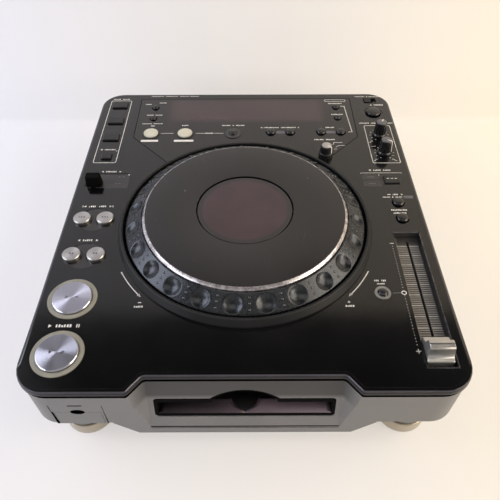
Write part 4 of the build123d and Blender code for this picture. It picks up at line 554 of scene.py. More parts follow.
# outline through corners (x, y, radius), each rounded, the straights cut into equal pieces
def bentPath(corners, steps=8, cuts=6):
    arcs, path = [], []
    count = len(corners)
    for i, (x, y, r) in enumerate(corners):
        here = Vector((x, y))
        back = (Vector(corners[i - 1][:2]) - here).normalized()
        onward = (Vector(corners[(i + 1) % count][:2]) - here).normalized()
        half = acos(back.dot(onward)) / 2
        middle = here + (back + onward).normalized() * r / sin(half)
        first, last = (here + way * r / tan(half) - middle for way in (back, onward))
        start = atan2(first.y, first.x)
        turn = (atan2(last.y, last.x) - start + pi) % (2 * pi) - pi
        arcs.append([middle + Vector((cos(a), sin(a))) * r
                     for a in (start + turn * k / steps for k in range(steps + 1))])
    for i, arc in enumerate(arcs):
        path += arc + [arc[-1].lerp(arcs[(i + 1) % count][0], k / cuts) for k in range(1, cuts)]
    return path


def rimPath(row, inset):
    w, d = row["half"][0] - inset, row["half"][1] - inset
    run = row["stepRun"] / row["stepBack"]
    backX = row["stepHalf"] + inset * (hypot(run, 1.0) - run)
    backY = row["stepBack"] - row["half"][1] + inset
    r, tip, pit = row["cornerR"] - inset, max(row["stepR"] - inset, 0.5), row["stepR"] + inset
    return bentPath([(w, -d, r), (w, d, r), (-w, d, r), (-w, -d, r), (-backX - row["stepRun"], -d, tip),
                     (-backX, backY, pit), (backX, backY, pit), (backX + row["stepRun"], -d, tip)])


def makeRim(row):
    loops = []
    for side, ahead, z, _ in row["section"]:
        loop = []
        for a, b in zip(rimPath(row, side), rimPath(row, ahead)):
            share = (a.y - row["blend"][0]) / (row["blend"][1] - row["blend"][0])
            spot = a.lerp(b, min(max(share, 0.0), 1.0))
            loop.append((spot.x, spot.y, z))
        loops.append(loop)
    count, n = len(loops), len(loops[0])
    points = [spot for loop in loops for spot in loop]
    kinds = sorted({kind for *_, kind in row["section"]})
    faces, marks = [], []
    for k in range(count):
        faces += bandFaces(k * n, (k + 1) % count * n, n)
        marks += [kinds.index(row["section"][k][3])] * n
    rim = meshPiece("roundedRim", points, faces, kinds, angle=50)
    rim.data.polygons.foreach_set("material_index", marks)
    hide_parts("top_rim")


makeRim(rimSet)
print("rim made")

# printed legends: white screen ink a few hundredths thick, with generic signs and plain bars
inkSet = {
    "thick": 0.06,
    # middle of the legend, its signs, height of the signs, and its length where it has # runs:
    # > < triangles, | bar, = two bars, - dash, . dot, o ring, + plus, ^ triangle on a bar,
    # # a run of small upright blocks that fills the length
    "signs": (
        (-139.5, 173.9, "# #", 1.9, 17.0), (-138.7, 81.6, "o #", 2.0, 15.7),
        (-129.3, 46.9, "< # >", 2.2, 19.7), (-133.2, -2.0, "|< # # >|", 2.4, 29.0),
        (-133.7, -44.0, "< # >", 2.4, 17.4),
        (-133.9, -130.8, "> # =", 2.9, 22.7), (107.6, -89.0, "# #", 1.8, 10.6), (107.6, -92.2, "#", 1.5, 6.5),
        (138.4, 12.6, "- # +", 1.9, 13.4), (135.6, 9.1, "# . #", 1.4, 18.0), (138.5, -8.1, "#", 2.1, 15.2),
        (138.4, -12.0, "#", 2.1, 12.0), (130.2, 47.7, "o # #", 2.1, 20.2), (139.2, 126.1, "# # #", 1.9, 34.1),
        (145.6, 160.7, "^ #", 2.2, 15.6), (137.0, 177.6, "# . #", 1.5, 28.3), (99.7, 164.0, "#", 2.0, 15.6),
        (99.5, 142.6, "#", 2.0, 13.0), (89.4, 118.5, "#", 1.9, 9.3), (36.4, 118.6, "< # # >", 1.9, 40.2),
        (-12.9, 122.7, "# > #", 1.9, 24.5), (-37.9, 109.0, "#", 2.1, 9.0), (-64.0, 123.0, "#", 2.0, 7.5),
        (-99.1, 126.4, "# #", 1.6, 20.9), (-98.5, 122.3, "#", 2.0, 4.6), (-98.9, 142.5, "# #", 1.8, 17.0),
        (-107.9, 163.4, "#", 1.9, 6.7), (-92.2, 166.3, "#", 1.9, 7.4), (-99.7, 179.8, "#", 1.3, 13.6),
        (-83.8, 179.8, "#", 1.3, 13.6), (-63.9, 179.8, "# #", 1.3, 21.6), (81.9, 97.2, "# #", 2.0, 21.6),
        (-80.8, -109.8, "-", 1.6, 0), (80.1, -109.9, "+", 2.0, 0), (-81.0, -113.6, "#", 2.0, 6.6),
        (80.6, -113.6, "#", 2.0, 7.0),
    ),
    # straight lines: points, width
    "lines": (
        (((-88.5, 109.0), (-75.2, 109.0)), 0.5), (((-52.2, 108.9), (-43.0, 108.9)), 0.5),
        (((-32.8, 108.8), (-23.0, 108.8)), 0.5),
        (((104.6, 158.4), (109.0, 158.4), (111.6, 110.6), (107.6, 110.2)), 0.6),
        (((111.2, 42.6), (111.2, 43.6), (150.1, 43.6), (150.1, 42.6)), 0.4),
        (((122.3, -48.8), (125.7, -48.8)), 0.6), (((122.3, -153.5), (125.9, -153.5)), 0.6),
        (((124.1, -151.7), (124.1, -155.3)), 0.6),
    ),
    # rounded frames: corners, corner radius, width
    "frames": (
        ((-150.2, 60.6, -127.8, 170.8), 2.0, 0.6), ((125.6, 58.8, 152.7, 121.5), 1.6, 0.55),
        ((88.5, 168.0, 111.6, 171.6), 1.5, 0.45),
    ),
    "bars": ((-107.9, 94.6, -90.1, 97.8), (-73.9, 94.5, -53.6, 97.7)),
    "softBars": ((31.6, 107.9, 41.7, 112.3), (84.4, 107.9, 94.5, 112.3)),
    "blockW": 0.46, "blockGap": 0.24,
    "seam": ((116.9, 173.9), (116.3, 102.3), (60.6, 42.9)), "seamW": 0.6,
    "greyBar": (145.4, 7.2, 154.4, 10.9),
    # grey ring at the edge of the eject recess: a painted glint
    "ejectGlintRing": (139.3, 145.5, 10.8, 0.3), "zeroTick": (((115.2, -101.5), (122.0, -101.2)), 0.7),
    "dots": ((-111.6, 42.0, 0.8), (-129.9, 79.4, 0.6), (127.9, 40.3, 0.5)),
    "jogArcs": {"r": 114.0, "from": 209.0, "to": 224.2, "width": 0.8, "head": 3.6},
    "scale": {"x": 124.1, "from": -52.0, "to": -150.6, "zero": -101.2, "pitch": 2.75, "r": 0.3, "zeroR": 1.7},
}


def rect(x0, y0, x1, y1):
    return [(x0, y0), (x1, y0), (x1, y1), (x0, y1)]


# outline that follows a path at half its width on each side, cut into four-sided pieces
def strokeShapes(path, width, closed=False):
    count = len(path)
    spots = [Vector(spot) for spot in path]
    sides = []
    for i, spot in enumerate(spots):
        ways = []
        if i > 0 or closed:
            ways.append((spot - spots[i - 1]).normalized())
        if i < count - 1 or closed:
            ways.append((spots[(i + 1) % count] - spot).normalized())
        across = sum((Vector((-way.y, way.x)) for way in ways), Vector((0, 0))).normalized()
        reach = width / 2 / max(across.dot(Vector((-ways[0].y, ways[0].x))), 0.4)
        sides.append((spot + across * reach, spot - across * reach))
    last = count if closed else count - 1
    return [[sides[i][0], sides[(i + 1) % count][0], sides[(i + 1) % count][1], sides[i][1]]
            for i in range(last)]


def ringPath(x, y, r, turns):
    return [(x + r * cos(a), y + r * sin(a)) for a in turns]


def circlePath(x, y, r, steps=20):
    return ringPath(x, y, r, [2 * pi * i / steps for i in range(steps)])


def roundedPath(x0, y0, x1, y1, r, steps=6):
    corners = ((x1 - r, y1 - r, 0), (x0 + r, y1 - r, 90), (x0 + r, y0 + r, 180), (x1 - r, y0 + r, 270))
    return [spot for cx, cy, start in corners
            for spot in ringPath(cx, cy, r, [radians(start + 90 * i / steps) for i in range(steps + 1)])]


# one sign of the legends, h high, its left edge at x; returns its shapes and its width
def signShapes(sign, x, y, h):
    t = h * 0.26
    if sign == ">":
        return [[(x, y - h / 2), (x + h * 0.85, y), (x, y + h / 2)]], h * 0.85
    if sign == "<":
        return [[(x + h * 0.85, y - h / 2), (x + h * 0.85, y + h / 2), (x, y)]], h * 0.85
    if sign == "|":
        return [rect(x, y - h / 2, x + t, y + h / 2)], t
    if sign == "=":
        return [rect(x + s, y - h / 2, x + s + t, y + h / 2) for s in (0, 2 * t)], 3 * t
    if sign == "-":
        return [rect(x, y - t * 0.9, x + h * 1.5, y + t * 0.9)], h * 1.5
    if sign == ".":
        return [circlePath(x + h / 2, y, h / 2, 12)], h
    if sign == "o":
        return strokeShapes(circlePath(x + h / 2, y, h * 0.42, 16), h * 0.24, True), h
    if sign == "+":
        mid = Vector((x + h / 2, y))
        ways = [Vector((cos(a), sin(a))) * h / 2 for a in (0.0, pi / 2)]
        return [shape for way in ways for shape in strokeShapes([mid - way, mid + way], t)], h
    if sign == "^":
        return [[(x, y - h * 0.1), (x + h, y - h * 0.1), (x + h / 2, y + h / 2)],
                rect(x, y - h / 2, x + h, y - h * 0.28)], h
    return [], h * 0.45


def legendShapes(x, y, text, h, length=0):
    space = h * 0.3
    pitch = h * (inkSet["blockW"] + inkSet["blockGap"])
    fixed = sum(signShapes(sign, 0, 0, h)[1] + space for sign in text if sign != "#") - space
    runs = text.count("#")
    blocks = max(round(((length - fixed) / runs - space) / pitch), 1) if runs else 0
    width = fixed + runs * (blocks * pitch + space)
    shapes, at = [], x - width / 2
    for sign in text:
        if sign == "#":
            # every few blocks one stands lower or narrower, as marks of a made-up code do
            for i in range(blocks):
                wide = h * inkSet["blockW"] * (1.0 if i % 3 else 0.8)
                low, high = y - h * 0.42, y + h * (0.42 if (i * 7 + blocks) % 4 else 0.2)
                left = at + i * pitch
                shapes.append(rect(left, low, left + wide, high))
            at += blocks * pitch + space
            continue
        more, wide = signShapes(sign, at, y, h)
        shapes += more
        at += wide + space
    return shapes


# flat shapes on a face: each outline becomes a thin closed piece, low at its base
def inkMesh(name, shapes, z, finish, body="chassis", thick=0.06, frameOf=None):
    points, faces = [], []
    for shape in shapes:
        base, n = len(points), len(shape)
        area = sum(shape[i - 1][0] * shape[i][1] - shape[i][0] * shape[i - 1][1] for i in range(n))
        outline = list(shape) if area > 0 else list(shape)[::-1]
        for level in (z - 0.02, z + thick):
            for spot in outline:
                points.append((spot[0], spot[1], level) if frameOf is None
                              else tuple(frameOf(spot[0], spot[1], level)))
        faces.append(tuple(base + n + i for i in range(n)))
        faces.append(tuple(base + n - 1 - i for i in range(n)))
        faces += bandFaces(base, base + n, n)
    piece = newObject(name, points, faces, [finish])
    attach(piece, body)
    return piece


makeFinishes({
    # screen printed ink: thin, slightly broken at its edges, satin
    "whiteScreenInk": {"colours": ("#c9c7c3", "#dad8d4"), "roughness": (0.4, 0.52), "patchMm": 5,
        "ior": 1.5},
    # grey ink, used also for a painted glint round the eject recess
    "greyInkAndGlint": {"colours": ("#4f4e55", "#5b5a61"), "roughness": (0.4, 0.52), "patchMm": 5,
        "ior": 1.5},
    "blackScreenInk": {"colours": ("#1d1c20", "#27262b"), "roughness": (0.35, 0.48), "ior": 1.5},
    # faint smoky print under the gloss, lighter than the panel
    "smokyScreenInk": {"colours": ("#2c2b2c", "#333132"), "roughness": (0.16, 0.24), "patchMm": 9,
        "grainMm": 0.7, "grainStrength": 0.05, "ior": 1.5},
})


def makePrint(row):
    white = []
    for x, y, text, h, length in row["signs"]:
        white += legendShapes(x, y, text, h, length)
    for path, width in row["lines"]:
        white += strokeShapes(path, width)
    for (x0, y0, x1, y1), r, width in row["frames"]:
        white += strokeShapes(roundedPath(x0, y0, x1, y1, r), width, True)
    for x, y, r in row["dots"]:
        white.append(circlePath(x, y, r, 12))
    for x0, y0, x1, y1 in row["bars"]:
        white.append(roundedPath(x0, y0, x1, y1, 0.9, 4))
    scale = row["scale"]
    y = scale["from"]
    while y > scale["to"]:
        if abs(y - scale["zero"]) > scale["zeroR"] + 0.8:
            white.append(circlePath(scale["x"], y, scale["r"], 8))
        y -= scale["pitch"]
    white += strokeShapes(circlePath(scale["x"], scale["zero"], scale["zeroR"]), 0.7, True)
    arcs = row["jogArcs"]
    for mirror in (1, -1):
        turns = [radians(arcs["from"] + (arcs["to"] - arcs["from"]) * i / 14) for i in range(15)]
        path = [(mirror * arcs["r"] * cos(a), jogAxis.y + arcs["r"] * sin(a)) for a in turns]
        white += strokeShapes(path, arcs["width"])
        tip, before = Vector(path[-1]), Vector(path[-3])
        way = (tip - before).normalized()
        side = Vector((-way.y, way.x))
        heel, spread = tip - way * arcs["head"] * 0.55, side * arcs["head"] * 0.33
        white.append([tip + way * arcs["head"] * 0.45, heel + spread, heel - spread])
    inkMesh("whiteLegends", white, panelTop, "whiteScreenInk", thick=row["thick"])
    grey = [roundedPath(*corners, 1.4, 4) for corners in row["softBars"]]
    grey.append(roundedPath(*row["greyBar"], 0.8, 4))
    # the grey ring round the eject key is a painted glint on the recess edge
    x, y, r, width = row["ejectGlintRing"]
    grey += strokeShapes(circlePath(x, y, r, 48), width, True) + strokeShapes(*row["zeroTick"])
    inkMesh("greyPrintAndGlint", grey, panelTop, "greyInkAndGlint", thick=row["thick"])
    # painted shadow along the seam round the display window
    seam = []
    for mirror in (1, -1):
        seam += strokeShapes([(mirror * x, y) for x, y in row["seam"]], row["seamW"])
    ends = row["seam"][0]
    seam += strokeShapes([(-ends[0], ends[1]), (ends[0], ends[1])], row["seamW"])
    inkMesh("windowSeamShadow", seam, panelTop, "shadowGap", thick=0.03)


makePrint(inkSet)
print("legends printed")

# smoky plates under the direction lever and beside the jog mode button, with their faint marks
smokySet = {
    "lever": {"box": (-150.6, 23.4, -110.4, 43.6), "split": -134.6, "slot": (-145.0, -140.0, 40.3)},
    "boxes": ((111.6, 24.0, 128.2, 32.2), (111.6, 34.0, 128.2, 41.4)),
    "marks": ((-118.6, 39.4, "- o", 1.6), (-120.6, 30.0, "- -", 1.2), (119.6, 28.1, "---", 1.3),
              (119.6, 37.7, "---", 1.3)),
    "sink": 0.62,
}


def makeSmokyPlates(row):
    x0, y0, x1, y1 = row["lever"]["box"]
    low = panelTop - row["sink"]
    split = row["lever"]["split"]
    slot = row["lever"]["slot"]
    inlay = [roundedPath(split, y0, x1, y1, 1.2, 4),
             rect(x0, y0, slot[0], y1), rect(slot[1], y0, split - 0.05, y1),
             rect(slot[0], slot[2], slot[1], y1)]
    inkMesh("leverInlay", inlay, low, "smokyScreenInk", thick=0.22)
    boxes = [roundedPath(*corners, 1.0, 4) for corners in row["boxes"]]
    inkMesh("modeBoxes", boxes, panelTop, "smokyScreenInk", thick=0.05)
    marks, sunk = [], []
    for x, y, text, h in row["marks"]:
        (marks if x > 0 else sunk).extend(legendShapes(x, y, text, h))
    inkMesh("modeMarks", marks, panelTop + 0.05, "greyInkAndGlint", thick=0.05)
    inkMesh("leverMarks", sunk, low + 0.22, "greyInkAndGlint", thick=0.05)


makeSmokyPlates(smokySet)
print("smoky plates laid")


# spun cap: anisotropic sheen across the turning marks, fine rings in bump and tone
def makeSpunMetal(name, look):
    tree = newMaterial(name)
    place = addNode(tree, "TexCoord").outputs["Generated"]
    centred = addNode(tree, "VectorMath", {0: place, 1: (0.5, 0.5, 0.0)}, operation="SUBTRACT")
    flat = addNode(tree, "VectorMath", {0: centred, 1: (1.0, 1.0, 0.0)}, operation="MULTIPLY")
    radius = addNode(tree, "VectorMath", {0: flat}, operation="LENGTH").outputs["Value"]
    away = addNode(tree, "CombineXYZ", {"X": radius})
    rings, colour, rough = addCloud(tree, away, look["acrossMm"] / look["ringMm"], look,
                                    (0.3, 0.7), Detail=3.0)
    bump = addNode(tree, "Bump", {"Height": rings, "Strength": 0.1, "Distance": 0.02 * mm})
    soft = addNode(tree, "Bevel", {"Radius": 0.5 * mm}, samples=4)
    tree.links.new(soft.outputs["Normal"], bump.inputs["Normal"])
    turn = addNode(tree, "Tangent", direction_type="RADIAL", axis="Z")
    shader = addNode(tree, "BsdfPrincipled", {
        "Base Color": colour, "Roughness": rough, "Metallic": 1.0, "Anisotropic": look["anisotropic"],
        "Anisotropic Rotation": 0.25, "Normal": bump, "Tangent": turn})
    addNode(tree, "OutputMaterial", {"Surface": shader})


# aluminium caps spun on a lathe: rings of fine marks draw the light into a bow tie
makeSpunMetal("spunAluminium", {
    "colours": ("#c4c3cf", "#d0cfdb"), "roughness": (0.20, 0.23), "ringMm": 0.3, "acrossMm": 32.9,
    "anisotropic": 0.95})
# smaller caps pressed from the same sheet, duller
makeSpunMetal("spunSmallCap", {
    "colours": ("#b3b0ae", "#c4c1be"), "roughness": (0.30, 0.36), "ringMm": 0.45, "acrossMm": 17.4,
    "anisotropic": 0.6})


# rings of three mouldings in one node: milky at the large caps, dark at the loop keys, grey at the right
def makeRingMouldings(name, look):
    tree = newMaterial(name)
    place = addNode(tree, "TexCoord").outputs["Object"]
    across = addNode(tree, "SeparateXYZ", {"Vector": place}).outputs["X"]
    cloud, colour, rough = addCloud(tree, place, 1000 / look["patchMm"], look, Detail=3.0)
    for border, pair in look["beyond"]:
        shade = addNode(tree, "ValToRGB", {"Fac": cloud})
        setRamp(shade, list(zip((0.35, 0.65), pair)))
        further = addNode(tree, "Math", {0: across, 1: border * mm}, operation="GREATER_THAN")
        colour = addNode(tree, "Mix", {"Factor": further, 6: colour,
                                       7: shade}, data_type="RGBA").outputs[2]
    edge = addNode(tree, "Bevel", {"Radius": 0.3 * mm}, samples=4)
    shader = addNode(tree, "BsdfPrincipled", {
        "Base Color": colour, "Roughness": rough, "Normal": edge, "IOR": 1.55})
    addNode(tree, "OutputMaterial", {"Surface": shader})


# polycarbonate rings: milky beige, or filled dark and grey, satin from the mould
makeRingMouldings("ringMouldings", {
    "colours": ("#7d7a6f", "#888579"), "patchMm": 9, "roughness": (0.34, 0.44),
    # from this far across on, these colours
    "beyond": ((-112.0, ("#2c2c2d", "#353536")), (80.0, ("#6d6c69", "#7a7976")))})

# signs on the caps: middle, height of the cap top, signs, size, body, ink
capSigns = (
    ("playSign", -137.4, -154.5, 89.6, ">", 2.7, "play_button", "blackScreenInk"),
    ("pauseSign", -129.0, -154.5, 89.6, "=", 2.7, "play_button", "blackScreenInk"),
    ("cueSign", -137.2, -106.0, 89.6, "o", 1.9, "cue_button", "blackScreenInk"),
    ("cueDash", -129.4, -106.0, 89.6, "-", 1.9, "cue_button", "blackScreenInk"),
    ("trackBackSign", -143.7, -18.6, 90.0, "|<<", 2.0, "track_back_button", "blackScreenInk"),
    ("trackForwardSign", -123.4, -18.6, 90.0, ">>|", 2.0, "track_forward_button", "blackScreenInk"),
    ("searchBackSign", -143.7, -61.3, 90.0, "<<", 2.0, "search_back_button", "blackScreenInk"),
    ("searchForwardSign", -123.4, -61.3, 90.0, ">>", 2.0, "search_forward_button", "blackScreenInk"),
    ("jogModeSign", 139.0, 33.6, 88.6, "- - -", 1.5, "jog_mode_button", "whiteScreenInk"),
)
for name, x, y, z, text, h, body, ink in capSigns:
    inkMesh(name, legendShapes(x, y, text, h), z, ink, body, thick=0.04)
print("caps signed")

# smoky discs in the recesses between the skip caps, with an arc along their rims
recessSet = {"at": ((-133.55, -18.6), (-133.55, -61.3)), "r": 13.7, "capX": 10.15, "capR": 8.95, "z": 86.4}


def makeRecessDiscs(row):
    discs, arcs = [], []
    steps = 28
    for cx, cy in row["at"]:
        edges = []
        for i in range(steps + 1):
            x = -row["capX"] * 1.1 + 2.2 * row["capX"] * i / steps
            inner = sqrt(max(row["capR"] ** 2 - (abs(x) - row["capX"]) ** 2, 0.0))
            outer = sqrt(row["r"] ** 2 - x * x)
            edges.append((x, inner, max(outer, inner + 0.01)))
        for side in (1, -1):
            for (x0, a0, b0), (x1, a1, b1) in zip(edges, edges[1:]):
                discs.append([(cx + x0, cy + side * a0), (cx + x1, cy + side * a1), (cx + x1, cy + side * b1),
                              (cx + x0, cy + side * b0)])
            turns = [radians(90 * side - 34 + 68 * i / 12) for i in range(13)]
            arcs += strokeShapes(ringPath(cx, cy, row["r"] + 0.1, turns), 0.35)
    inkMesh("recessDiscs", discs, row["z"], "smokyScreenInk", thick=0.03)
    inkMesh("recessArcs", arcs, row["z"], "greyInkAndGlint", thick=0.08)


makeRecessDiscs(recessSet)

# low domes on the small round keys, polished like drops of ink
domeSet = {
    "rise": 1.15, "inset": 0.3, "wellW": 0.8,
    "flatCaps": ((-98.8, 108.2, 7.5), (-63.3, 108.2, 7.5)),
    # key: middle, top, radius
    "keys": {
        "memory_button": (99.5, 156.3, 88.6, 3.3), "delete_button": (99.5, 136.0, 88.6, 3.3),
        "time_mode_button": (-99.5, 156.3, 88.6, 3.3), "text_mode_button": (-99.5, 136.0, 88.6, 3.3),
        "folder_back_button": (26.5, 110.1, 88.8, 4.6), "folder_forward_button": (46.8, 110.1, 88.8, 4.6),
        "call_back_button": (79.25, 110.1, 88.8, 4.6), "call_forward_button": (99.55, 110.1, 88.8, 4.6),
        "reloop_button": (-13.2, 108.2, 89.0, 4.0), "tempo_reset_button": (107.4, -101.5, 88.6, 3.8),
        "tempo_range_button": (139.2, 1.5, 89.0, 5.0), "master_tempo_button": (139.0, -19.1, 89.0, 5.0),
        "eject_button": (139.3, 145.5, 89.2, 7.5),
    },
}


def makeDomes(row):
    for key, (x, y, z, r) in row["keys"].items():
        r -= row["inset"]
        outline = [(0.0, row["rise"])]
        outline += [(r * sin(pi / 2 * i / 7), row["rise"] * cos(pi / 2 * i / 7))
                    for i in range(1, 8)]
        outline += [(r, -0.1), (0.0, -0.1)]
        points, faces = turnedMesh(outline, (x, y, z), 40, closed=False)
        meshPiece(key + "Dome", points, faces, "domedCapAbs", key)
    # painted shadow: dark rings in the wells round the keys
    wells = []
    for x, y, r in [(x, y, r) for x, y, _, r in row["keys"].values()] + list(row["flatCaps"]):
        wells += strokeShapes(circlePath(x, y, r + 0.1 + row["wellW"] / 2, 40), row["wellW"], True)
    inkMesh("keyWellShadows", wells, panelTop, "shadowGap", thick=0.03)


makeDomes(domeSet)
print("key domes made")

# discs let into the tops of the three knobs: place, radius
for name, place, r, finish, body in (
        ("adjustDisc", (79.94, 71.03, 99.5), 4.7, "silverLacquer", "jog_adjust_knob"),
        ("brakeDisc", (139.0, 105.0, 103.0), 4.9, "greyKnobInsert", "touch_brake_knob"),
        ("startDisc", (139.0, 75.0, 103.0), 4.9, "greyKnobInsert", "release_start_knob")):
    points, faces = turnedMesh([(0.0, 0.1), (r - 0.25, 0.1), (r, 0.0), (r, -0.2), (0.0, -0.2)], place, 48,
                               closed=False)
    meshPiece(name, points, faces, finish, body)

# pointers of the three knobs, a white line on the top and down the side: middle, angle, where the
# line starts and ends on the top, the rounding of its edge, its foot, its width
pointerSet = (
    ("adjustPointer", (79.94, 71.03), -40.0, 1.0, 5.8, 99.5, 0.8, 6.1, 92.0, 1.1, "jog_adjust_knob"),
    ("brakePointer", (139.0, 105.0), 60.0, 1.2, 5.6, 103.0, 0.8, 5.9, 100.0, 1.2, "touch_brake_knob"),
    ("startPointer", (139.0, 75.0), -30.0, 0.6, 5.6, 103.0, 0.8, 6.65, 91.0, 1.2, "release_start_knob"),
)
for name, (cx, cy), angle, inner, topR, topZ, edge, footR, footZ, width, body in pointerSet:
    a = radians(angle)
    out, side = Vector((cos(a), sin(a), 0)), Vector((-sin(a), cos(a), 0))
    path = [(inner, topZ), (topR - edge, topZ), (topR, topZ - edge), (footR, footZ)]
    lifts = [(0, 1), (0.38, 0.92), (0.92, 0.38), (1.0, 0.1)]
    points, faces = [], []
    for (r, z), (dr, dz) in zip(path, lifts):
        for lift in (-0.15, 0.16):
            for s in (-1, 1):
                points.append(Vector((cx, cy, 0)) + out * (r + dr * lift) + side * s * width / 2
                              + Vector((0, 0, z + dz * lift)))
    for k in range(len(path) - 1):
        b = 4 * k
        faces += [(b + 2, b + 3, b + 7, b + 6), (b, b + 4, b + 5, b + 1),
                  (b, b + 2, b + 6, b + 4), (b + 1, b + 5, b + 7, b + 3)]
    faces += [(0, 1, 3, 2), (12, 14, 15, 13)]
    meshPiece(name, points, faces, "whiteScreenInk", body, angle=60)

# scale marks round the two lower knobs, and lines and curves beside all three
knobMarks = []
for cx, cy in ((139.0, 105.0), (139.0, 75.0)):
    for angle in range(-60, 241, 30):
        knobMarks += strokeShapes([ringPath(cx, cy, r, [radians(angle)])[0] for r in (8.6, 10.0)], 0.4)
for path in (((89.2, 88.6), (90.6, 92.2), (99.3, 92.1)), ((91.6, 84.2), (94.8, 87.1), (101.4, 87.1)),
             ((89.5, 81.3), (92.6, 81.3))):
    knobMarks += strokeShapes(path, 0.45)
for cx, cy, way in ((128.6, 93.2, 1), (128.8, 63.4, 1), (147.6, 63.4, -1)):
    curve = [(cx - 2.2 * way, cy - 1.2), (cx - 0.7 * way, cy - 1.2), (cx + 0.7 * way, cy + 1.3),
             (cx + 2.4 * way, cy + 1.3)]
    knobMarks += strokeShapes(curve, 0.4)
knobMarks += legendShapes(130.0, 85.6, "---", 0.9)
inkMesh("knobMarks", knobMarks, panelTop, "whiteScreenInk", thick=0.06)
print("knobs marked")

# tempo fader: satin liner in the trough with a printed rule, a painted highlight strip round its mouth
faderSet = {
    "x0": 127.5, "x1": 149.4, "y0": -166.5, "y1": -36.5, "floor": 78.0, "insert": 2.5, "skin": 0.12,
    "slit": (138.9, 140.6), "slitTo": (-164.5, -41.5), "ruleFrom": -46.4, "rulePitch": 2.08, "ruleCount": 52,
    "ruleInset": (0.3, 1.0), "bandW": 3.4, "lineW": 0.8, "longW": 1.0, "edgeW": 0.9, "edgeH": 0.22,
}


def makeFader(row):
    x0, x1, y0, y1 = row["x0"], row["x1"], row["y0"], row["y1"]
    skin, low = row["skin"], row["floor"]
    s0, s1 = row["slit"]
    t0, t1 = row["slitTo"]
    floor = [rect(x0, y0, s0, y1), rect(s1, y0, x1, y1), rect(s0, t1, s1, y1), rect(s0, y0, s1, t0)]
    inkMesh("troughFloor", floor, low, "satinLinerAbs", thick=row["insert"])
    walls = [rect(x0, y0, x0 + skin, y1), rect(x1 - skin, y0, x1, y1),
             rect(x0 + skin, y0, x1 - skin, y0 + skin)]
    inkMesh("troughWalls", walls, low, "satinKeyAbs", thick=panelTop - low)
    rear = [rect(x0 + skin, y1 - skin, x1 - skin, y1)]
    inkMesh("troughRearWall", rear, low, "satinLinerAbs", thick=panelTop - low)
    # a light strip round the mouth, a painted highlight of its edge
    w = row["edgeW"]
    edge = strokeShapes([(x0 - w / 2, y0 - w / 2), (x1 + w / 2, y0 - w / 2), (x1 + w / 2, y1 + w / 2),
                         (x0 - w / 2, y1 + w / 2)], w)
    edge += [circlePath(x, y1 + w / 2, 0.75, 12) for x in (x0 - w / 2, x1 + w / 2)]
    inkMesh("troughEdge", edge, panelTop, "paintedEdgeHighlight", thick=row["edgeH"])
    band = [rect(x0 + skin, y0 + skin, x0 + row["bandW"], y1 - skin)]
    inkMesh("troughBand", band, low + row["insert"], "bandScreenInk", thick=0.02)
    dim, bright = [], []
    for i in range(row["ruleCount"]):
        y = row["ruleFrom"] - i * row["rulePitch"]
        major = i % 5 == 0
        wide = row["longW"] if major else row["lineW"]
        left = [(x0 + (row["ruleInset"][0] if major else row["bandW"]), y), (s0 - 0.3, y)]
        right = [(s1 + 0.3, y), (x1 - row["ruleInset"][1], y)]
        (bright if major else dim).extend(strokeShapes(left, wide) + strokeShapes(right, wide))
    inkMesh("troughRule", dim, low + row["insert"], "ruleScreenInk", thick=0.04)
    inkMesh("troughLongRule", bright, low + row["insert"], "brightRuleInk", thick=0.04)


makeFinishes({
    # moulded liner: warm dark grey, satin
    "satinLinerAbs": {"colours": ("#343231", "#3d3b39"), "roughness": (0.3, 0.4), "patchMm": 12,
        "grainStrength": 0.15, "ior": 1.52},
    # grey inks of the rule, from the band beside it to its long lines
    "bandScreenInk": {"colours": ("#615e5a", "#6b6864"), "roughness": (0.38, 0.5), "patchMm": 6,
        "ior": 1.5},
    "ruleScreenInk": {"colours": ("#84817d", "#928f8a"), "roughness": (0.38, 0.5), "ior": 1.5},
    "brightRuleInk": {"colours": ("#a19e99", "#b5b2ad"), "roughness": (0.38, 0.5), "ior": 1.5},
    # painted highlight along the lacquered edge of the mouth
    "paintedEdgeHighlight": {"colours": ("#504f58", "#65636d"), "roughness": (0.22, 0.34), "patchMm": 6,
        "grainMm": 0.6, "grainStrength": 0.15, "metallic": 0.85, "softMm": 0.2},
})
makeFader(faderSet)
print("fader trough lined")

# fader cap: ridge across the middle with a groove, a finger scoop before it and a slope behind
faderCapSet = {
    "midX": 138.4, "halfW": 9.7, "topHalfW": 8.9,
    "stemX": 139.75, "stemHalf": (0.5, 2.8), "stemFrom": 73.0, "stemHigh": 8.4,
    "lineHalf": 8.6, "lineY": (-1.3, -0.8), "lineZ": 9.9,
    # y from the middle of the cap, height over the panel: section seen from the side
    "midY": -152.6,
    "section": ((-10.0, -6.0), (-10.0, -1.0), (-9.8, -0.1), (-9.3, 0.4), (-8.6, 0.5), (-7.8, 0.7),
                (-6.9, 1.5), (-6.1, 2.9), (-5.5, 4.8), (-5.1, 6.8), (-4.9, 8.4), (-4.7, 9.4), (-4.2, 10.0),
                (-1.6, 10.4), (-1.35, 9.9), (-0.75, 9.9), (-0.5, 10.5), (1.7, 10.3), (2.3, 9.8), (2.7, 8.6),
                (3.2, 6.6), (4.0, 4.9), (5.2, 3.6), (6.6, 2.9), (8.0, 2.6), (9.2, 2.4), (9.9, 1.7),
                (10.0, 0.6), (10.0, -6.0)),
}


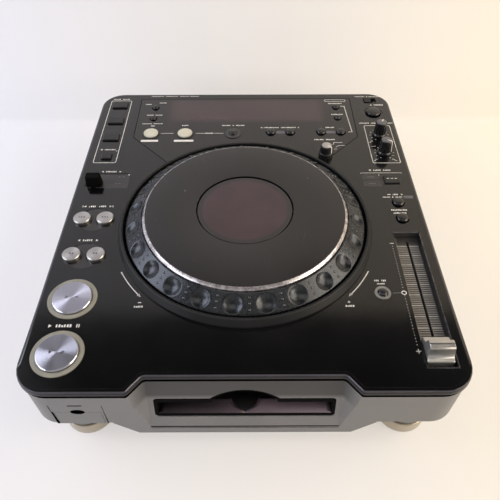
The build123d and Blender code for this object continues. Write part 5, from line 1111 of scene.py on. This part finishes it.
def makeFaderCap(row):
    points, faces = [], []
    section = row["section"]
    n = len(section)
    top = max(z for _, z in section)
    sides = []
    for sx, inset in ((-1, 0.0), (-1, 0.35), (1, 0.35), (1, 0.0)):
        sides.append(len(points))
        for y, z in section:
            lift = max(z, 0.0) / top
            wide = row["halfW"] + (row["topHalfW"] - row["halfW"]) * lift
            # the outer loops stand a little lower, for a rounded edge
            drop = 0.0 if inset else 0.3
            points.append((row["midX"] + sx * (wide - inset), row["midY"] + y * (1.0 if inset else 0.985),
                           panelTop + z - (drop if z > -5 else 0.0)))
    for a, b in zip(sides, sides[1:]):
        faces += [(a + k, b + k, b + (k + 1) % n, a + (k + 1) % n) for k in range(n)]
    faces.append(tuple(sides[0] + k for k in range(n)))
    faces.append(tuple(sides[-1] + k for k in range(n - 1, -1, -1)))
    cap = meshPiece("scoopedFaderCap", points, faces, "silverLacquer", "tempo_fader_cap", angle=40)
    x, y = row["stemX"], row["midY"]
    a, b = row["stemHalf"]
    inkMesh("capStem", [rect(x - a, y - b, x + a, y + b)], row["stemFrom"], "zincSteel",
            "tempo_fader_cap", thick=row["stemHigh"])
    a, b = row["lineY"]
    inkMesh("capLine", [rect(row["midX"] - row["lineHalf"], y + a, row["midX"] + row["lineHalf"], y + b)],
            panelTop + row["lineZ"], "blackScreenInk", "tempo_fader_cap", thick=0.05)
    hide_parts("tempo_fader_cap")


makeFaderCap(faderCapSet)
print("fader cap made")

# disc guide: satin brown plate on the floor of the disc mouth, with the finger notch
guideSet = {"halfW": (64.3, 63.0), "frontY": -179.2, "flatY": -164.0, "backY": -168.6, "notchR": 10.0,
            "notchY": -166.7, "frontZ": 43.55, "backZ": 46.02, "t": 0.3}


def makeGuide(row):
    # height of the sloped floor and half width of the plate at each depth
    def floorZ(y):
        y0, y1 = row["frontY"], row["flatY"]
        share = min(max((y - y0) / (y1 - y0), 0.0), 1.0)
        return row["frontZ"] + (row["backZ"] - row["frontZ"]) * share

    def halfAt(y):
        share = (y - row["frontY"]) / (row["backY"] - row["frontY"])
        return row["halfW"][0] + (row["halfW"][1] - row["halfW"][0]) * share

    r, ny = row["notchR"], row["notchY"]
    ys = [row["frontY"] + (row["backY"] - row["frontY"]) * i / 12 for i in range(13)]
    points, faces = [], []
    for mirror in (-1, 1):
        base = len(points)
        steps = 16
        for y in ys:
            # edge of the notch at this depth, or the middle in front of it
            inner = 0.0
            if y > ny:
                inner = r
            elif ny - y < r:
                inner = sqrt(r * r - (ny - y) ** 2)
            for k in range(steps + 1):
                x = inner + (halfAt(y) - inner) * k / steps
                points.append((mirror * x, y, floorZ(y) + row["t"]))
        for i in range(len(ys) - 1):
            for k in range(steps):
                a = base + i * (steps + 1) + k
                faces.append((a, a + 1, a + steps + 2, a + steps + 1))
    plate = meshPiece("discGuide", points, faces, "satinGuidePlate", angle=60)
    thick = plate.modifiers.new("sheet", "SOLIDIFY")
    thick.thickness = row["t"] * mm * 0.9
    thick.offset = -1.0


# pressed sheet with a plum brown satin coat; its colour runs from dark on the left to light on the right as
# painted light and shade inside the mouth
def makeGuideCoat(name, look):
    tree = newMaterial(name)
    place = addNode(tree, "TexCoord").outputs["Object"]
    across = addNode(tree, "SeparateXYZ", {"Vector": place}).outputs["X"]
    cloud = addNode(tree, "TexNoise", {"Vector": place, "Scale": 1000 / look["patchMm"], "Detail": 3.0})
    drift = addNode(tree, "MapRange", {"Value": cloud, "To Min": -look["driftMm"] * mm,
                                       "To Max": look["driftMm"] * mm})
    at = addNode(tree, "Math", {0: across, 1: drift}, operation="ADD")
    share = addNode(tree, "MapRange", {"Value": at, "From Min": -look["halfMm"] * mm,
                                       "From Max": look["halfMm"] * mm})
    ramp = addNode(tree, "ValToRGB", {"Fac": share})
    setRamp(ramp, look["colours"])
    bump = addGrain(tree, place, look["grainMm"], 0.25, 0.08 * mm)
    shader = addNode(tree, "BsdfPrincipled", {
        "Base Color": ramp, "Roughness": 0.4, "Metallic": 0.55, "Normal": bump})
    addNode(tree, "OutputMaterial", {"Surface": shader})


makeGuideCoat("satinGuidePlate", {
    "colours": [(0.0, "#1d181b"), (0.35, "#3f363c"), (0.6, "#6a5c66"), (1.0, "#85767f")], "patchMm": 12,
    "driftMm": 12.0, "halfMm": 66.0, "grainMm": 0.5})
makeGuide(guideSet)
print("disc guide made")


# smoked sheets over dark displays: clear gloss, dull red brown (the colours) where the display lies behind
def makeSmokedSheet(name, look):
    tree = newMaterial(name)
    place = addNode(tree, "TexCoord").outputs["Object"]
    shifted = addNode(tree, "VectorMath", {0: place, 1: tuple(v * mm for v in look["middle"])},
                      operation="SUBTRACT")
    soft = look["softMm"] * mm
    if look["shape"] == "disc":
        flat = addNode(tree, "VectorMath", {0: shifted, 1: (1.0, 1.0, 0.0)}, operation="MULTIPLY")
        away = addNode(tree, "VectorMath", {0: flat}, operation="LENGTH").outputs["Value"]
        r = look["half"][0] * mm
        inside = addNode(tree, "MapRange", {"Value": away, "From Min": r - soft, "From Max": r,
            "To Min": 1.0, "To Max": 0.0})
    else:
        sizes = addNode(tree, "VectorMath", {0: shifted}, operation="ABSOLUTE")
        axes = addNode(tree, "SeparateXYZ", {"Vector": sizes})
        shares = [addNode(tree, "MapRange", {
            "Value": axes.outputs[axis], "From Min": half * mm - soft, "From Max": half * mm,
            "To Min": 1.0, "To Max": 0.0}) for axis, half in zip("XY", look["half"])]
        inside = addNode(tree, "Math", {0: shares[0], 1: shares[1]}, operation="MULTIPLY")
    cloud, behind, rough = addCloud(tree, place, 1000 / look["cloudMm"], look, Detail=2.0)
    around = addNode(tree, "ValToRGB", {"Fac": cloud})
    setRamp(around, list(zip((0.35, 0.65), look["around"])))
    colour = addNode(tree, "Mix", {"Factor": inside, 6: around, 7: behind}, data_type="RGBA").outputs[2]
    dust = look["dust"]
    colour = addSpecks(tree, place, colour, dust["cellMm"], dust["share"], dust["tone"], dust["edge"],
                       dust["strength"])
    edge = addNode(tree, "Bevel", {"Radius": 0.3 * mm}, samples=4)
    shader = addNode(tree, "BsdfPrincipled", {
        "Base Color": colour, "Roughness": rough, "Normal": edge, "IOR": look["ior"]})
    addNode(tree, "OutputMaterial", {"Surface": shader})


makeSmokedSheet("smokedDisplaySheet", {
    "shape": "box", "middle": (1.0, 151.0, 0.0), "half": (87.0, 24.0), "softMm": 9.0, "cloudMm": 40,
    "around": ("#131112", "#171415"), "colours": ("#33272a", "#3a2c2e"),
    "roughness": (0.10, 0.16), "ior": 1.56,
    "dust": {"cellMm": 6, "share": 0.06, "tone": "#a19c97", "edge": (0.04, 0.08), "strength": 0.4}})
makeSmokedSheet("smokedCentreSheet", {
    "shape": "disc", "middle": tuple(jogAxis), "half": (36.6,), "softMm": 1.0, "cloudMm": 30,
    "around": ("#272425", "#2b2829"), "colours": ("#36272b", "#3b2c31"),
    "roughness": (0.16, 0.24), "ior": 1.5,
    "dust": {"cellMm": 5, "share": 0.12, "tone": "#a19c97", "edge": (0.04, 0.08), "strength": 0.4}})

# connectors at the rear: nickel sleeves, coloured insulators, pins of the mains inlet
rearSet = {
    "sleeves": ((-101.0, "paleInsulator"), (-79.0, "redInsulator"), (-57.0, "blackInsulator")),
    "z": 57.0, "blockY": 172.8, "sleeveEnd": 181.78, "sleeveR": (3.35, 4.32), "insulatorR": (1.62, 3.3),
    "miniX": -35.0, "miniR": (1.8, 3.1), "miniEnd": 175.45,
    "pinX": (113.0, 127.0), "pin": (1.06, 2.06), "pinFrom": 167.0, "pinTo": 180.9,
}
makeFinishes({
    # nickel on turned brass: warm, sharp
    "nickelPlate": {"colours": ("#aca89f", "#bdb9b0"), "roughness": (0.16, 0.28), "patchMm": 5,
        "grainStrength": 0.12, "metallic": 1.0, "softMm": 0.2},
    # coloured plastic inside the sleeves, satin
    "paleInsulator": {"colours": ("#cfccc4", "#dad7d0"), "roughness": (0.36, 0.46), "grainMm": 0.4,
        "ior": 1.5},
    "redInsulator": {"colours": ("#93231f", "#a02a25"), "roughness": (0.36, 0.46), "grainMm": 0.4,
        "ior": 1.5},
    "blackInsulator": {"colours": ("#1a1a1b", "#222223"), "roughness": (0.36, 0.46), "grainMm": 0.4,
        "ior": 1.5},
})


# turned ring along Y: outline of (radius, distance to the rear)
def rearRing(outline, x, z, steps=40):
    points, faces = turnedMesh(outline, (0, 0, 0), steps)
    return [(x + p[0], p[2], z + p[1]) for p in points], faces


def makeRear(row):
    z, low, end = row["z"], row["blockY"], row["sleeveEnd"]
    inner, outer = row["sleeveR"]
    sleeves = []
    for x, kind in row["sleeves"]:
        ring = [(inner, low + 0.05), (outer + 1.4, low + 0.05), (outer + 1.4, low + 0.9), (outer, low + 1.1),
                (outer, end - 0.3), (outer - 0.3, end + 0.25), (inner, end + 0.25), (inner, end - 0.6)]
        sleeves.append(rearRing(ring, x, z))
        near, far = row["insulatorR"]
        core = [(near, end - 0.5), (far, end - 0.5), (far, end + 0.1), (near + 0.3, end + 0.1)]
        meshPiece(kind + "Ring", *rearRing(core, x, z, 32), kind)
    (near, far), end = row["miniR"], row["miniEnd"]
    collar = [(near, low + 0.1), (far + 1.1, low + 0.1), (far + 1.1, low + 2.4), (far + 0.8, end),
              (near + 0.3, end), (near, low + 2.4)]
    sleeves.append(rearRing(collar, row["miniX"], z))
    meshPiece("jackSleeves", *joinMeshes(sleeves), "nickelPlate")
    points, faces = [], []
    for x in row["pinX"]:
        w, h = row["pin"]
        for y, s in ((row["pinFrom"], 1.0), (row["pinTo"] - 1.2, 1.0), (row["pinTo"], 0.55)):
            points += [(px, y, pz) for px, pz in rect(x - w * s, z - h * s, x + w * s, z + h * s)]
        b = len(points) - 12
        faces += bandFaces(b, b + 4, 4) + bandFaces(b + 4, b + 8, 4)
        faces += [(b, b + 1, b + 2, b + 3), (b + 8, b + 9, b + 10, b + 11)]
    meshPiece("inletPins", points, faces, "nickelPlate", smooth=False)


makeRear(rearSet)


# marks at the rear, seen from behind: along X to the left, Z upward
def rearward(y):
    return lambda a, b, level: (-a, y + level, b)


rearMarks = []
for x, text in ((101.0, "o"), (79.0, "o"), (57.0, ". ."), (35.0, "-")):
    rearMarks += legendShapes(x, 66.2, text, 1.6)
inkMesh("jackMarks", rearMarks, 0.0, "whiteScreenInk", thick=0.05, frameOf=rearward(172.83))
inkMesh("powerSign", legendShapes(-84.0, 57.0, "| o", 2.6), 0.0, "whiteScreenInk", "power_button",
        thick=0.05, frameOf=rearward(184.8))
print("rear connectors dressed")

# front of the case: painted shade in the gaps at the sides of the card door, its finger hole, the lamp slit,
# and a line along the toe
frontSet = {"y": 183.8, "doorX": (-138.9, -101.1), "doorZ": (37.3, 56.0), "sideW": (1.9, 0.7),
            "seamTop": 66.0, "seamW": 0.35, "hole": (-120.0, 56.0, 5.2, 3.3),
            "slit": (-120.0, 65.7, 5.2, 0.62), "toeHalf": 70.8, "toe": (28.6, 30.8), "leanFrom": 29.0,
            "lean": 0.258}


def makeFrontMarks(row):
    x0, x1 = row["doorX"]
    z0, z1 = row["doorZ"]
    left, right = row["sideW"]
    onDoor = [[(x0 - 0.1, z0), (x0 + left, z0), (x0 + left * 0.6, z1), (x0 - 0.1, z1)],
              [(x1 - right, z0), (x1 + 0.1, z0), (x1 + 0.1, z1), (x1 - right * 0.4, z1)]]
    onCase = []
    for x in (x0, x1):
        onCase += strokeShapes([(x, z1), (x, row["seamTop"])], row["seamW"])
    cx, cz, a, b = row["hole"]
    for shapes, start in ((onCase, 0.0), (onDoor, pi)):
        shapes.append([(cx + a * cos(turn), cz + b * sin(turn))
                       for turn in (start + pi * i / 16 for i in range(17))])
    cx, cz, a, b = row["slit"]
    onCase.append(roundedPath(cx - a, cz - b, cx + a, cz + b, b * 0.95, 4))
    for name, shapes, body in (("doorGaps", onDoor, "card_door"), ("doorSeams", onCase, "chassis")):
        inkMesh(name, shapes, 0.0, "shadowGap", body, thick=0.06,
                frameOf=lambda x, z, level: (x, -row["y"] - level, z))
    low, high = row["toe"]
    # the front of the case leans back above the toe
    inkMesh("toeLine", [rect(-row["toeHalf"], low, row["toeHalf"], high)], 0.0, "shadowGap",
            thick=0.05, frameOf=lambda x, z, level: (
                x, -row["y"] - level + max(z - row["leanFrom"], 0.0) * row["lean"], z))


makeFrontMarks(frontSet)
print("front marked")

# case screws under the housing: black zinc pan heads, the cross recess drawn as a flat black mark, painted
# shade
screwSet = {"at": ((-150.0, -96.0, 37.0), (150.0, -96.0, 37.0), (-150.0, 96.0, 37.0), (150.0, 96.0, 37.0),
                   (-62.0, -140.0, 20.0), (62.0, -140.0, 20.0), (-62.0, 150.0, 20.0), (62.0, 150.0, 20.0),
                   (0.0, 20.0, 20.0)),
            "r": 3.1, "h": 1.5, "slotL": 3.2, "slotW": 0.75, "turn": 0.4}
makeFinishes({
    # black zinc on steel, bright where the edges are worn
    "blackZinc": {"colours": ("#242424", "#2f2e2d"), "roughness": (0.26, 0.38), "patchMm": 3,
        "grainStrength": 0.2, "metallic": 1.0, "wear": "#8b8984", "wearMm": 0.3, "softMm": 0.2},
})


def makeScrews(row):
    heads, recess = [], []
    for x, y, z in row["at"]:
        outline = [(0.0, -row["h"]), (row["r"] * 0.55, -row["h"] * 0.96), (row["r"] * 0.85, -row["h"] * 0.7),
                   (row["r"], -row["h"] * 0.25), (row["r"], 0.02), (0.0, 0.02)]
        heads.append(turnedMesh(outline, (x, y, z), 28, closed=False))
        for turn in (row["turn"], row["turn"] + pi / 2):
            way = Vector((cos(turn), sin(turn)))
            ends = [Vector((x, y)) + way * s * row["slotL"] / 2 for s in (-1, 1)]
            recess.append((strokeShapes(ends, row["slotW"]), z - row["h"]))
    meshPiece("caseScrews", *joinMeshes(heads), "blackZinc")
    for level in sorted({z for _, z in recess}):
        shapes = [shape for group, z in recess if z == level for shape in group]
        inkMesh("screwRecess%d" % round(level), shapes, level - 0.02, "blackInsulator", thick=0.05)


makeScrews(screwSet)
print("case screws set")

# finishes of the CAD nodes that stay
nodeFinish = {
    "metallicGreyLacquer": ("bottom_case", "card_door"),
    "gunmetalLacquer": ("top_rim",),
    "polishedBlackAbs": ("control_panel",),
    "smokedDisplaySheet": ("display_window",),
    "texturedBlackAbs": ("jog_collar", "jog_base", "rear_jacks", "ac_inlet", "lock_switch",
        "jog_adjust_knob", "power_button", "turntable", "pickup_sled"),
    "smokedCentreSheet": ("jog_window",),
    "zincSteel": ("fader_unit", "drive_frame", "card_socket"),
    "mouldedRubber": ("foot_pads", "loading_roller"),
    "dullBlackAbs": ("disc_bezel", "direction_lever"),
    "solderResist": ("control_board", "main_board", "power_supply"),
    "naturalAcetal": ("jog_ring_gear", "encoder_gear"),
    "spunAluminium": ("play_button", "cue_button"),
    "ringMouldings": ("button_rings",),
    "spunSmallCap": ("track_back_button", "track_forward_button", "search_back_button",
        "search_forward_button"),
    "paleAcetal": ("loop_in_button", "loop_out_button"),
    "polishedCapAbs": ("reloop_button", "time_mode_button", "text_mode_button", "folder_back_button",
        "folder_forward_button", "call_back_button", "call_forward_button", "memory_button",
        "delete_button", "eject_button", "tempo_range_button", "master_tempo_button", "tempo_reset_button",
        "touch_brake_knob", "release_start_knob"),
    "satinKeyAbs": ("hot_cue_a_button", "hot_cue_b_button", "hot_cue_c_button", "rec_mode_button",
        "jog_mode_button"),
    "silverLacquer": ("tempo_fader_cap",),
}
for finish, nodes in nodeFinish.items():
    for node in nodes:
        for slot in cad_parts[node].material_slots:
            slot.material = materials[finish]
print("CAD nodes finished")

# floor and wall of a plain studio; the colour runs cooler on the left and warmer on the right as painted
# light, in the tint of the lamps on each side
stageSet = {"halfW": 2500.0, "frontY": -2500.0, "wallY": 257.0, "wallTop": 620.0, "bendR": 8.0,
            "bendSteps": 8, "left": "#e9e9f1", "right": "#f4ead9", "blendHalf": 350.0, "grainMm": 1.5,
            "shown": 0.62, "dimFrom": 150.0, "dimTo": 600.0, "dimTop": 0.6}


def makeStage(row):
    tree = newMaterial("paintedBoard")
    place = addNode(tree, "TexCoord").outputs["Object"]
    parts = addNode(tree, "SeparateXYZ", {"Vector": place})
    across = addNode(tree, "MapRange", {
        "Value": parts.outputs["X"], "From Min": -row["blendHalf"] * mm, "From Max": row["blendHalf"] * mm})
    ramp = addNode(tree, "ValToRGB", {"Fac": across})
    setRamp(ramp, [(0.0, row["left"]), (1.0, row["right"])])
    bump = addGrain(tree, place, row["grainMm"], 0.05, 0.1 * mm)
    matt = addNode(tree, "BsdfPrincipled", {"Base Color": ramp, "Roughness": 0.6, "Normal": bump,
        "Specular IOR Level": 0.2})
    # the glow seen on the board fades up the wall, painted shade
    fade = addNode(tree, "MapRange", {
        "Value": parts.outputs["Z"], "From Min": row["dimFrom"] * mm, "From Max": row["dimTo"] * mm,
        "To Min": 1.0, "To Max": row["dimTop"]})
    glow = addNode(tree, "Emission", {"Color": ramp, "Strength": fade})
    rays = addNode(tree, "LightPath")
    seen = addNode(tree, "Math", {0: rays.outputs["Is Camera Ray"], 1: rays.outputs["Is Glossy Ray"]},
                   operation="ADD")
    both = addNode(tree, "Math", {0: seen, 1: rays.outputs["Is Transmission Ray"]}, operation="ADD")
    share = addNode(tree, "Math", {0: both, 1: row["shown"]}, operation="MULTIPLY", use_clamp=True)
    mix = addNode(tree, "MixShader", {0: share, 1: matt, 2: glow})
    # from behind, the board lets the eye through
    behind = addNode(tree, "Math", {0: addNode(tree, "NewGeometry").outputs["Backfacing"],
                                    1: rays.outputs["Is Camera Ray"]}, operation="MULTIPLY")
    clear = addNode(tree, "BsdfTransparent")
    board = addNode(tree, "MixShader", {0: behind, 1: mix, 2: clear})
    addNode(tree, "OutputMaterial", {"Surface": board})
    outline = [(row["frontY"], 0.0)]
    for i in range(row["bendSteps"] + 1):
        a = pi / 2 * i / row["bendSteps"]
        outline.append((row["wallY"] - row["bendR"] + row["bendR"] * sin(a),
                        row["bendR"] - row["bendR"] * cos(a)))
    outline.append((row["wallY"], row["wallTop"]))
    points = [(x, y, z) for x in (-row["halfW"], row["halfW"]) for y, z in outline]
    n = len(outline)
    faces = [(k, n + k, n + k + 1, k + 1) for k in range(n - 1)]
    sweep = newObject("studioSweep", points, faces, ["paintedBoard"])
    sweep.data.polygons.foreach_set("use_smooth", [True] * len(faces))


makeStage(stageSet)

# soft lamps: cool on the left, warm on the right, two low ones in front and one overhead;
# each with its place, what it points at, its size in metres, power and tone
lampSet = (
    ("coolSide", (-1150, 150, 900), (-20, 0, 60), (1.0, 0.9), 15.0, "#eef2ff"),
    ("warmSide", (1150, -200, 850), (20, 0, 60), (1.0, 0.9), 14.0, "#fff1dc"),
    ("coolLow", (-1050, -650, 380), (-40, -100, 50), (0.6, 0.4), 3.2, "#eef2ff"),
    ("warmLow", (1050, -650, 380), (40, -100, 50), (0.6, 0.4), 4.5, "#fff1dc"),
    ("overhead", (0, -500, 1900), (0, 0, 60), (1.6, 1.0), 7.0, "#fffaf2"),
)
for name, place, target, size, power, tone in lampSet:
    data = bpy.data.lights.new(name, "AREA")
    data.shape = "RECTANGLE"
    data.size, data.size_y = size
    data.energy = power
    data.color = linear(tone)[:3]
    lamp = bpy.data.objects.new(name, data)
    scene.collection.objects.link(lamp)
    lamp.location = Vector(place) * mm
    lamp.rotation_euler = (Vector(target) - Vector(place)).to_track_quat("-Z", "Y").to_euler()

# room around: pale near the horizon, dim overhead
roomSet = {"tone": "#f0ede9", "fadeFrom": 0.35, "fadeTo": 0.85, "low": 0.75, "high": 0.04}


def makeRoom(row):
    world = bpy.data.worlds.new("room")
    scene.world = world
    world.use_nodes = True
    tree = world.node_tree
    tree.nodes.clear()
    direction = addNode(tree, "TexCoord").outputs["Generated"]
    height = addNode(tree, "SeparateXYZ", {"Vector": direction}).outputs["Z"]
    fall = addNode(tree, "MapRange", {"Value": height, "From Min": row["fadeFrom"], "From Max": row["fadeTo"],
                                      "To Min": row["low"], "To Max": row["high"]})
    ground = addNode(tree, "Background", {"Color": linear(row["tone"]), "Strength": fall})
    addNode(tree, "OutputWorld", {"Surface": ground})


makeRoom(roomSet)
print("studio lit")
